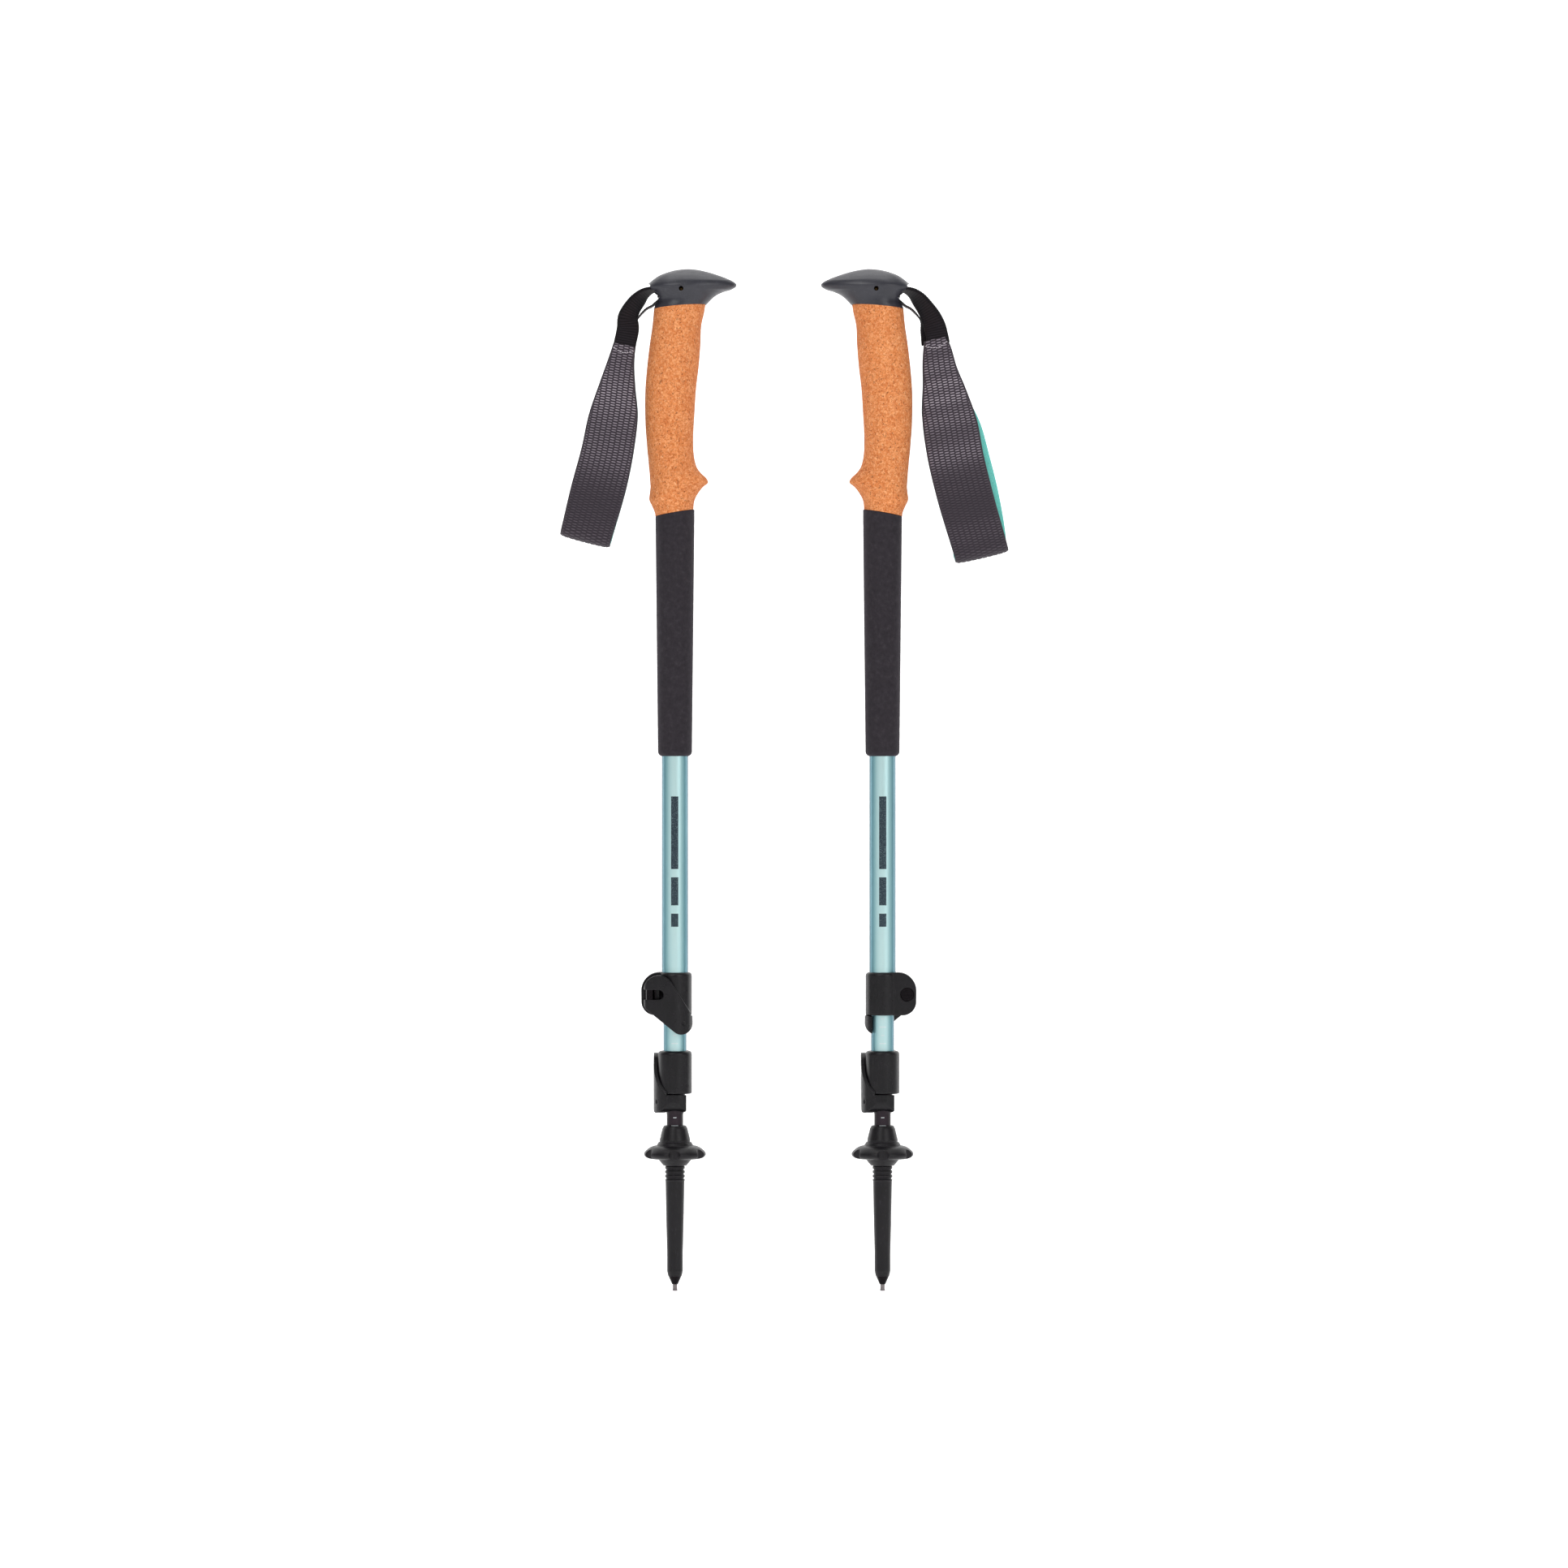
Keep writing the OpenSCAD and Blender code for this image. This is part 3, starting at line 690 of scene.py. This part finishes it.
def grip_head():
    """Smooth head with its beak, cut along the seam, and bored for the shaft, the strap and the pin."""
    head = egg_loft("left_head", HEAD_SECTIONS, 90, 96, LOOKS["head_plastic"])
    slice_off(head, *HEAD_SEAM, keep_above=True)
    carve(head, cylinder_cutter(0, 590, radius=SHAFT_R + GLUE_GAP, length=18, along_y=False))
    carve(head, chamber_cutter())
    carve(head, cylinder_cutter(PIN_X, PIN_Z, radius=1.45, length=60))
    return shade(head, 35)


def ease(value):
    """Smooth step from 0 to 1."""
    t = min(max(value, 0.0), 1.0)
    return t * t * (3 - 2 * t)


def crease_below_the_bump(bm):
    """Draws in the sides of the cork below a line that rises from the rear bump to the finger bump."""
    crease_z, crease_slope = 484.1, 0.395
    for vertex in bm.verts:
        x, y, z = vertex.co / MM
        below = crease_z + crease_slope * x - z
        depth = 1.1 * ease(below / 1.6) * (1 - ease((below - 3) / 7))
        side = abs(y) / math.hypot(x, y)
        vertex.co.y -= math.copysign(depth * side * MM, y)


def cork_grip():
    """Cork between the two slanting seams, bored for the shaft."""
    cork = egg_loft("left_cork", CORK_SECTIONS, 130, 96, LOOKS["cork"])
    edit(cork, crease_below_the_bump)
    slice_off(cork, HEAD_SEAM[0] - 0.05, HEAD_SEAM[1], keep_above=False, round_mm=0.4)
    slice_off(cork, *FOAM_SEAM, keep_above=True, round_mm=0.6)
    carve(cork, cylinder_cutter(0, 530, radius=SHAFT_R + GLUE_GAP, length=200, along_y=False))
    return shade(cork, 50)


def foam_sleeve():
    """A turned sleeve whose top edge follows the slanting seam."""
    low, high = 324.3, 470.0
    bottom_r, top_r, bore = 10.35, 11.85, SHAFT_R + GLUE_GAP
    lip = 3.0  # rounding of the bottom edge
    rim = 1.5  # height of the rounded top edge
    level_to = 455.0  # the rings are level up to here, then tilt more and more towards the seam
    side = [(bore, low + 0.4)]
    for a in np.linspace(1.5, 0, 8):
        side.append((bottom_r - lip * (1 - math.cos(a)), low + lip * (1 - math.sin(a))))
    for t in np.linspace(0.01, 1, 60):
        side.append((bottom_r + (top_r - bottom_r) * t, low + lip + (high - low - lip) * t))
    edge = [(top_r, 0.55), (top_r, 0.85), (top_r - 0.25, 0.97), (top_r - 0.7, 1.0), (bore, 1.0)]

    def seam(x):
        return FOAM_SEAM[0] - 0.1 + FOAM_SEAM[1] * x

    around = 96
    points = []
    for radius, z in side:
        for a in circle_angles(around):
            swell = 1 + 0.03 * math.sin(z * 0.9) * math.sin(3 * a + z * 0.05) / radius
            x, y = radius * math.cos(a), radius * math.sin(a)
            tilt = max(z - level_to, 0) / (high - level_to)
            points.append((x * swell, y * swell, min(z, level_to) + tilt * (seam(x) - rim - level_to)))
    for radius, share in edge:
        for a in circle_angles(around):
            x, y = radius * math.cos(a), radius * math.sin(a)
            points.append((x, y, seam(x) - rim * (1 - share)))
    rows = len(side) + len(edge)
    faces = tube_faces(rows, around, closed=False)
    last = (rows - 1) * around
    for i in range(around):
        j = (i + 1) % around
        faces.append((last + i, last + j, j, i))
    return shade(new_object("left_foam", points, faces, LOOKS["foam"]), 50)


def strap_pin():
    """Cross pin that the strap hangs on; it ends deep in its holes."""
    rows = [(1.0, -11.0), (1.35, -10.7), (1.38, -10.2)]
    rows += [(r, -y) for r, y in reversed(rows)]
    around = 32
    points = []
    for radius, y in rows:
        for a in circle_angles(around):
            points.append((PIN_X + radius * math.cos(a), y, PIN_Z - radius * math.sin(a)))
    return shade(new_object("left_pin", points, tube_faces(len(rows), around), LOOKS["brass"]), 60)


# Places a copy of the left pole's piece on either pole; the right grip faces the other way.
half_turn = {
    "left": Matrix.Identity(4),
    "right": Matrix.Translation((AXIS_X["right"], 0, 0)) @ Matrix.Rotation(math.pi, 4, "Z"),
}
GRIP_PARTS = {
    "grip_head": grip_head,
    "cork_grip": cork_grip,
    "foam_sleeve": foam_sleeve,
    "strap_pin": strap_pin,
}
for node, build in GRIP_PARTS.items():
    master = build()
    for side in SIDES:
        piece = copy_of(master, f"{side}_{node}_skin", half_turn[side])
        settle(piece, f"{side}_handle", f"{side}_{node}")
    bpy.data.objects.remove(master)


# ---------- clamps and baskets ----------

LOBE_ROOT, LOBE_TIP = 11.5, 19.0  # radii between which a basket lobe thins
LOBE_BOTTOM, LOBE_TOP = 80.2, 88.3
LOBE_DROP = 2.6
MOULD_VOXEL, MOULD_PASSES = 0.24, 5  # fineness, in millimetres, and smoothing of the moulded parts


def round_off_lobes(bm):
    """Lowers the top of each basket lobe towards its tip; the underside stays."""
    for vertex in bm.verts:
        x, y, z = vertex.co / MM
        outward = ease((math.hypot(x, y) - LOBE_ROOT) / (LOBE_TIP - LOBE_ROOT))
        height = (z - LOBE_BOTTOM) / (LOBE_TOP - LOBE_BOTTOM)
        vertex.co.z -= LOBE_DROP * MM * outward * min(max(height, 0.0), 1.0)


beside = Matrix.Translation((AXIS_X["right"] - AXIS_X["left"], 0, 0))
for node, left_body, move in (
    ("upper_collar", "handle", half_turn["right"]),
    ("upper_lever", "upper_lever_body", half_turn["right"]),
    ("lower_collar", "mid", beside),
    ("lower_lever", "lower_lever_body", beside),
    ("basket", "basket_body", beside),
):
    skin = moulded(f"left_{node}", MOULD_VOXEL, MOULD_PASSES)
    if node == "basket":
        edit(skin, round_off_lobes)
    twin = copy_of(skin, f"right_{node}_skin", move)
    settle(skin, f"left_{left_body}", f"left_{node}")
    settle(twin, f"right_{left_body}", f"right_{node}")


# ---------- wrist straps ----------


def polyline(points, count):
    """Smooth curve through 2D points, as count rows."""
    keys = [(x, z, 0.0) for x, z in points]
    return smooth_curve(keys, count)[:, :2]


def grid_normals(grid):
    """Unit normals of a grid of points."""
    along = np.gradient(grid, axis=0)
    across = np.gradient(grid, axis=1)
    normal = np.cross(along, across)
    return normal / np.linalg.norm(normal, axis=2, keepdims=True)


def slab(name, grid, normal, outer, inner, look, place, weave=None):
    """A closed sheet: outer skin at grid + normal * outer, inner skin at grid - normal * inner."""
    rows, columns = grid.shape[:2]
    front = grid + normal * outer[..., None]
    back = grid - normal * inner[..., None]
    points = np.concatenate([front.reshape(-1, 3), back.reshape(-1, 3)])
    faces = []
    base = rows * columns
    for i in range(rows - 1):
        for j in range(columns - 1):
            a = i * columns + j
            b, c, d = a + 1, a + columns + 1, a + columns
            faces.append((a, d, c, b))
            faces.append((base + a, base + b, base + c, base + d))
    rim = list(range(columns))
    rim += [i * columns + columns - 1 for i in range(1, rows)]
    rim += [(rows - 1) * columns + j for j in range(columns - 2, -1, -1)]
    rim += [i * columns for i in range(rows - 2, 0, -1)]
    for k, a in enumerate(rim):
        b = rim[(k + 1) % len(rim)]
        faces.append((a, b, base + b, base + a))
    made = new_object(name, points, faces, look, place)
    if weave is not None:
        attribute = made.data.attributes.new("weave", "FLOAT", "POINT")
        values = np.concatenate([weave.reshape(-1), weave.reshape(-1)])
        attribute.data.foreach_set("value", values.astype(np.float32))
    edit(made, lambda bm: bmesh.ops.recalc_face_normals(bm, faces=bm.faces))
    return made


def ribs(distance, pitch):
    """Rounded ribs: 1 on a crest, 0 in a groove."""
    return np.abs(np.sin(math.pi * distance / pitch)) ** 0.7


def floats(along, across, pitch, column):
    """Staggered columns of short raised threads: 1 on a thread, 0 between."""
    k = np.floor(across / column)
    u = across / column - k - 0.5
    v = along / pitch + 0.5 * (k % 2)
    thread = np.clip(0.35 + 1.2 * np.cos(2 * math.pi * v), 0, 1)
    between = 0.22
    middle = np.clip((0.45 - np.abs(u)) / 0.12, 0, 1)
    return thread * middle + between * (1 - middle)


# The two straps hang differently. outer and inner are the band's edges (x, z); peek is how far its rear
# layer shows past the front one; strand_x are places of the webbing above join_z, where the band begins;
# toward_viewer is the sense of the band's lean.
STRAPS = {
    "left": {
        "outer": [
            (-37.3, 575.2), (-40.1, 566.7), (-45.6, 551), (-52.2, 531),
            (-56.3, 511.5), (-62.5, 488), (-68.2, 463.5),
        ],
        "inner": [
            (-24.0, 572.6), (-24.6, 563), (-24.0, 549), (-22.4, 531),
            (-24.3, 511.5), (-28.7, 488), (-38.0, 455.6),
        ],
        "peek": 0.4,
        "strand_x": (-28.6, -28.5, -30.2),
        "second_strand_shift": 0.3,
        "join_z": 573.8,
        "toward_viewer": 1.0,
    },
    "right": {
        "outer": [
            (-39.0, 579), (-41.6, 572.6), (-45.1, 560.8), (-50, 549),
            (-57.2, 529), (-61.4, 507.6), (-67.3, 483.9), (-75.6, 454.5),
        ],
        "inner": [
            (-25.2, 576), (-24.4, 566.7), (-24.4, 549), (-23.9, 534),
            (-26.9, 507.6), (-32.3, 483.9), (-43.4, 447),
        ],
        "peek": 4.2,
        "strand_x": (-29.5, -31.8, -33.2),
        "second_strand_shift": 3.7,
        "join_z": 577.4,
        "toward_viewer": -1.0,
    },
}
GREY_T, LINING_T = 1.5, 1.0
WEBBING_PITCH = 1.5  # from rib to rib
LEAN = math.tan(math.radians(4.3))  # each band leans out of the plane of its grip
LEAN_TOP = 574.0  # where the lean starts


def strap_place(side):
    """Takes a strap from millimetres to its place; the right strap is mirrored."""
    mirror = -1.0 if side == "right" else 1.0
    return Matrix.Translation((AXIS_X[side], 0, 0)) @ Matrix.Diagonal((mirror, 1, 1, 1)) @ Matrix.Scale(MM, 4)


def band_grid(shape):
    """Rows run down the front layer, round the fold and up the back layer; columns run outer to inner."""
    down = 330
    round_rows = 44
    columns = 84
    outer = polyline(shape["outer"], down)
    inner = polyline(shape["inner"], down)
    t = np.linspace(0, 1, down)
    depth = 1.75 + 3.6 * np.sin(math.pi * t * 0.62) ** 1.6  # half the distance between the two layers
    share = np.linspace(0, 1, columns)[None, :, None]

    def layer(shift, sign):
        grid = np.zeros((down, columns, 3))
        flat = outer[:, None, :] * (1 - share) + inner[:, None, :] * share
        grid[..., 0] = flat[..., 0] - shift[:, None]
        grid[..., 2] = flat[..., 1]
        grid[..., 1] = sign * depth[:, None]
        return grid

    front = layer(np.zeros(down), -1)
    bump = np.sin(math.pi * np.clip((t - 0.34) / 0.66, 0, 1)) ** 0.8
    back = layer(shape["peek"] * bump, 1)
    edge = front[-1]
    run = front[-1] - front[-6]
    run[:, 1] = 0
    run /= np.linalg.norm(run, axis=1, keepdims=True)
    radius = depth[-1]
    fold = []
    for angle in np.linspace(0, math.pi, round_rows + 2)[1:-1]:
        row = edge + run * radius * math.sin(angle)
        row[:, 1] = -radius * math.cos(angle)
        fold.append(row)
    grid = np.concatenate([front, np.array(fold), back[::-1]])
    grid[..., 1] -= shape["toward_viewer"] * LEAN * np.clip(LEAN_TOP - grid[..., 2], 0, None)
    return grid


def distances(grid):
    """Distance along the middle of the rows, and across the columns, in millimetres."""
    middle = grid[:, grid.shape[1] // 2]
    along = np.concatenate([[0], np.cumsum(np.linalg.norm(np.diff(middle, axis=0), axis=1))])
    across = np.zeros(grid.shape[:2])
    across[:, 1:] = np.cumsum(np.linalg.norm(np.diff(grid, axis=1), axis=2), axis=1)
    across -= across[:, -1:] / 2
    return np.repeat(along[:, None], grid.shape[1], axis=1), across


def twisted_strand(name, keys, thick, place):
    """Ribbed webbing along keys of (x, y, z, twist, width): twist 0 lies across the grip, 90 faces -Y."""
    rows = 260
    columns = 13
    path = smooth_curve(keys, rows)
    centre = path[:, :3]
    tangent = np.gradient(centre, axis=0)
    tangent /= np.linalg.norm(tangent, axis=1, keepdims=True)
    sideways = np.tile([0.0, 1.0, 0.0], (rows, 1))
    facing = np.cross(tangent, sideways)
    facing /= np.linalg.norm(facing, axis=1, keepdims=True)
    twist = np.radians(path[:, 3])[:, None]
    wide = sideways * np.cos(twist) + facing * np.sin(twist)
    half = path[:, 4:5] / 2
    offsets = np.linspace(-1, 1, columns)[None, :] * half
    grid = centre[:, None, :] + wide[:, None, :] * offsets[..., None]
    normal = grid_normals(grid)
    along, across = distances(grid)
    rib = ribs(along, WEBBING_PITCH)
    edge = 1 - np.clip(np.abs(across / half), 0, 1) ** 8
    skin = thick / 2 - 0.25 + 0.25 * edge + 0.16 * rib
    # the 'weave' attribute here is painted shade and highlight: it follows the ribs, and darkens towards the
    # strand's rounded edges
    return slab(name, grid, normal, skin, skin, LOOKS["black_webbing"], place, rib * (0.55 + 0.45 * edge))


def stitches(name, spots, place):
    """Short raised threads: each spot is (centre, direction, normal, length)."""
    points, faces = [], []
    around, rings = 8, 7
    for centre, direction, normal, length in spots:
        direction = Vector(direction).normalized()
        normal = Vector(normal).normalized()
        side = direction.cross(normal)
        start = len(points)
        for t in np.linspace(0, math.pi, rings):
            radius = 0.28 * math.sin(t) + 0.02
            middle = Vector(centre) - direction * (length / 2) * math.cos(t)
            for a in circle_angles(around):
                points.append(tuple(middle + side * radius * math.cos(a) + normal * radius * math.sin(a)))
        faces += [tuple(start + index for index in face) for face in tube_faces(rings, around)]
    return new_object(name, points, faces, THREAD, place)


def join(target, *others):
    """Adds the other objects' meshes to the target's, with their materials."""
    pieces = [target, *others]
    bpy.context.view_layer.update()
    with bpy.context.temp_override(
        active_object=target, object=target, selected_objects=pieces, selected_editable_objects=pieces
    ):
        bpy.ops.object.join()
    return target


def band_cloth(side, grid, normal):
    """The grey woven face, a little crowned, with smooth selvedges; returns its height over the grid."""
    along, across = distances(grid)
    half = np.abs(across[:, :1])
    share = np.abs(across / half)
    edge = 1 - share**10
    padded = 0.55 * (1 - share**2.5)
    inside = np.clip((half - np.abs(across) - 0.9) / 0.4, 0, 1)
    weave = floats(along, across, 1.62, 3.3) * inside
    selvedge = (1 - inside) * 0.35 * ribs(along, 0.8)
    height = 0.35 * edge + padded + 0.30 * weave
    back = np.full(grid.shape[:2], GREY_T) * (0.7 + 0.3 * edge)
    # painted shade: the pale threads are brightest near the top and darken over a few centimetres, with a
    # faint painted ripple of light and shade along the band
    painted_falloff = (0.46 + 0.54 / (1 + np.exp((along - 76) / 7))) * (0.9 + 0.1 * np.cos((along - 32) / 7))
    tone = weave * painted_falloff + selvedge
    name = f"{side}_strap_band_cloth"
    cloth = slab(name, grid, normal, height, back, LOOKS["grey_band"], strap_place(side), tone)
    settle(cloth, f"{side}_strap", f"{side}_strap_band")
    return height


def band_lining(side, grid, normal):
    """The teal lining, on the inside of the band."""
    along, across = distances(grid)
    edge = 1 - np.abs(across / across[:, :1]) ** 10
    nap = 0.05 * np.sin(along * 2.1) * np.sin(across * 2.3)
    lining = slab(
        f"{side}_strap_lining_cloth",
        grid - normal * (GREY_T + 0.03),
        normal,
        np.zeros(grid.shape[:2]),
        (LINING_T + nap) * (0.75 + 0.25 * edge),
        LOOKS["teal_lining"],
        strap_place(side),
    )
    settle(lining, f"{side}_strap", f"{side}_strap_lining")


def webbing(side):
    """The two black strands from the head to the band, and their loop round the pin."""
    shape = STRAPS[side]
    place = strap_place(side)
    upper_x, lower_x, end_x = shape["strand_x"]
    join_z = shape["join_z"]
    back_x = end_x + shape["second_strand_shift"]
    front_keys = [
        (-2, 0, 608.4, 0, 13.4),
        (-10, 0, 608.0, 0, 13.4),
        (-14.5, 0, 607.2, 8, 13.4),
        (-18.4, -0.1, 605.2, 20, 13.4),
        (-22.0, -0.4, 601.6, 34, 13.5),
        (-26.2, -0.9, 596.0, 43, 13.6),
        (upper_x, -1.3, 590.4, 56, 13.6),
        (lower_x, -1.5, 584.5, 74, 13.6),
        (end_x, -1.4, join_z + 1.5, 90, 13.6),
        (end_x - 0.9, -1.2, join_z - 3, 90, 13.6),
    ]
    back_keys = [
        (-2, 0, 602.6, 0, 12),
        (-8, 0, 601.9, 0, 12),
        (-11.2, 0, 600.0, 0, 11.6),
        (-13.6, 0.2, 597.9, 0, 11),
        (-17.0, 1.4, 596.2, 0, 9.6),
        (-20.4, 2.8, 593.2, 0, 8.4),
        (-23.6, 4.0, 589.2, -10, 8),
        (-26.6, 3.6, 584.5, -50, 10.4),
        (back_x, 1.9, join_z + 1.5, -88, 12.6),
        (back_x - 0.6, 1.3, join_z - 3, -90, 12.8),
    ]
    loop_r = 2.3
    loop_keys = []
    for a in np.linspace(0, math.pi, 7):
        loop_keys.append((PIN_X + loop_r * math.sin(a), 0, PIN_Z + loop_r * math.cos(a), 0, 13))
    front = twisted_strand(f"{side}_webbing", front_keys, 1.7, place)
    back = twisted_strand(f"{side}_webbing_back", back_keys, 0.75, place)
    loop = twisted_strand(f"{side}_webbing_loop", loop_keys, 1.2, place)
    spots = []
    for k in range(3):
        centre = (-18.6 - 1.3 * k, -1.6 - 0.5 * k, 607.2 - 0.8 * k)
        spots.append((centre, (0.8, -0.2, -0.5), (-0.3, -0.9, 0.4), 1.5))
    marks = stitches(f"{side}_webbing_stitches", spots, place)
    strands = join(front, back, loop, marks)
    strands.name = f"{side}_strap_webbing_cloth"
    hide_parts(f"{side}_strap_webbing", f"{side}_strap_anchor")
    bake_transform(strands)


def seam_stitches(side, grid, normal, height):
    """A curved row of white stitches where the webbing is sewn to the band."""
    columns = grid.shape[1]
    spots = []
    for k in range(9):
        j = int(columns * (0.10 + 0.80 * k / 8))
        i = 8 + int(6 * math.sin(math.pi * k / 8))
        direction = grid[i, min(j + 2, columns - 1)] - grid[i, j - 2]
        spots.append((grid[i, j] + normal[i, j] * (height[i, j] + 0.1), direction, normal[i, j], 1.3))
    row = stitches(f"{side}_strap_stitches", spots, strap_place(side))
    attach(row, f"{side}_strap")


for side in SIDES:
    grid = band_grid(STRAPS[side])
    normal = -grid_normals(grid)
    if normal[5, 5, 1] > 0:
        normal = -normal  # points out of the loop
    height = band_cloth(side, grid, normal)
    band_lining(side, grid, normal)
    webbing(side)
    seam_stitches(side, grid, normal, height)


# ---------- CAD nodes that keep their shape ----------

for name, obj in frame["nodes"].items():
    if obj.hide_render:
        continue
    obj.data.materials.clear()
    # barrel nuts and washers get the dark steel look as painted shade
    slot = "dark_steel" if name.endswith(DARKENED_AS_SHADE) else SLOT_OF[name]
    obj.data.materials.append(TUBES.get(name) or LOOKS[slot])


# ---------- stage ----------


def floor_look():
    """Pale matt floor that glows a little, more so far off, where the lamps don't reach."""
    paint = Paint("studio_floor", roughness=0.9, specular=0.1)
    away = paint.node("ShaderNodeVectorMath")
    away.operation = "LENGTH"
    paint.feed(away.inputs[0], paint.place)
    reach_mm = 6000.0
    glow = paint.ramp(paint.maths("DIVIDE", away.outputs["Value"], reach_mm), (0.15, 0.36), (0.55, 0.75))
    return paint.finish((0.93, 0.93, 0.93, 1), Emission_Color=(1, 1, 1, 1), Emission_Strength=glow)


def studio():
    """A floor that curves up into a wall behind the poles; sizes in metres."""
    front_y, cove_y, cove_r, wall_top, half_width = -6.0, 1.5, 1.2, 5.0, 5.0
    profile = [(front_y, 0.0), (cove_y, 0.0)]
    for a in np.linspace(0.1, math.pi / 2, 12):
        profile.append((cove_y + cove_r * math.sin(a), cove_r - cove_r * math.cos(a)))
    profile.append((cove_y + cove_r, wall_top))
    points, faces = [], []
    for y, z in profile:
        points += [(-half_width, y, z), (half_width, y, z)]
    for k in range(len(profile) - 1):
        faces.append((2 * k, 2 * k + 1, 2 * k + 3, 2 * k + 2))
    floor = new_object("studio_floor", points, faces, floor_look(), Matrix.Identity(4))


def soft_light(name, location, target, size, power):
    """A rectangular lamp, sizes in metres and power in watts."""
    lamp = bpy.data.lights.new(name, "AREA")
    lamp.shape = "RECTANGLE"
    lamp.size, lamp.size_y = size
    lamp.energy = power
    obj = bpy.data.objects.new(name, lamp)
    obj.location = location
    obj.rotation_euler = (Vector(target) - Vector(location)).to_track_quat("-Z", "Y").to_euler()
    bpy.context.scene.collection.objects.link(obj)


def studio_lights(middle):
    """Soft lamps aimed at the middle of the poles, and an even white surround."""
    target = (middle, 0, 0.3)
    for name, x, y, z, size, power in (
        ("key", -0.9, -2.2, 1.9, (1.2, 1.6), 24),
        ("fill", 1.4, -2.0, 1.2, (1.2, 1.6), 15),
        ("top", 0.0, 0.2, 2.4, (1.6, 1.6), 20),
        ("rim", -1.5, 0.9, 0.7, (0.5, 1.4), 4),
        ("rim", 1.5, 0.9, 0.7, (0.5, 1.4), 4),
    ):
        soft_light(name, (middle + x, y, z), target, size, power)
    world = bpy.data.worlds.new("studio")
    world.use_nodes = True
    background = world.node_tree.nodes["Background"]
    background.inputs["Color"].default_value = (1, 1, 1, 1)
    seen = world.node_tree.nodes.new("ShaderNodeMix")  # white to the camera, dimmer as a light
    seen.inputs["A"].default_value = 0.34
    seen.inputs["B"].default_value = 1.0
    path = world.node_tree.nodes.new("ShaderNodeLightPath")
    world.node_tree.links.new(path.outputs["Is Camera Ray"], seen.inputs["Factor"])
    world.node_tree.links.new(seen.outputs["Result"], background.inputs["Strength"])
    bpy.context.scene.world = world


def camera(middle):
    """Level with the middle of the collapsed poles, far off, so that lines stay parallel."""
    distance = 3.0
    picture_width = 0.952
    aside, down = 0.0032, 0.0025  # small offsets that centre the pair in the picture
    data = bpy.data.cameras.new("camera")
    data.sensor_width = 36
    data.lens = data.sensor_width * distance / picture_width
    obj = bpy.data.objects.new("camera", data)
    obj.location = (middle + aside, -distance, TOP_Z / 2 - down)
    obj.rotation_euler = (math.pi / 2, 0, 0)
    bpy.context.scene.collection.objects.link(obj)
    bpy.context.scene.camera = obj


middle_x = (AXIS_X["left"] + AXIS_X["right"]) / 2
studio()
studio_lights(middle_x)
camera(middle_x)
bpy.context.scene.view_settings.view_transform = "Standard"
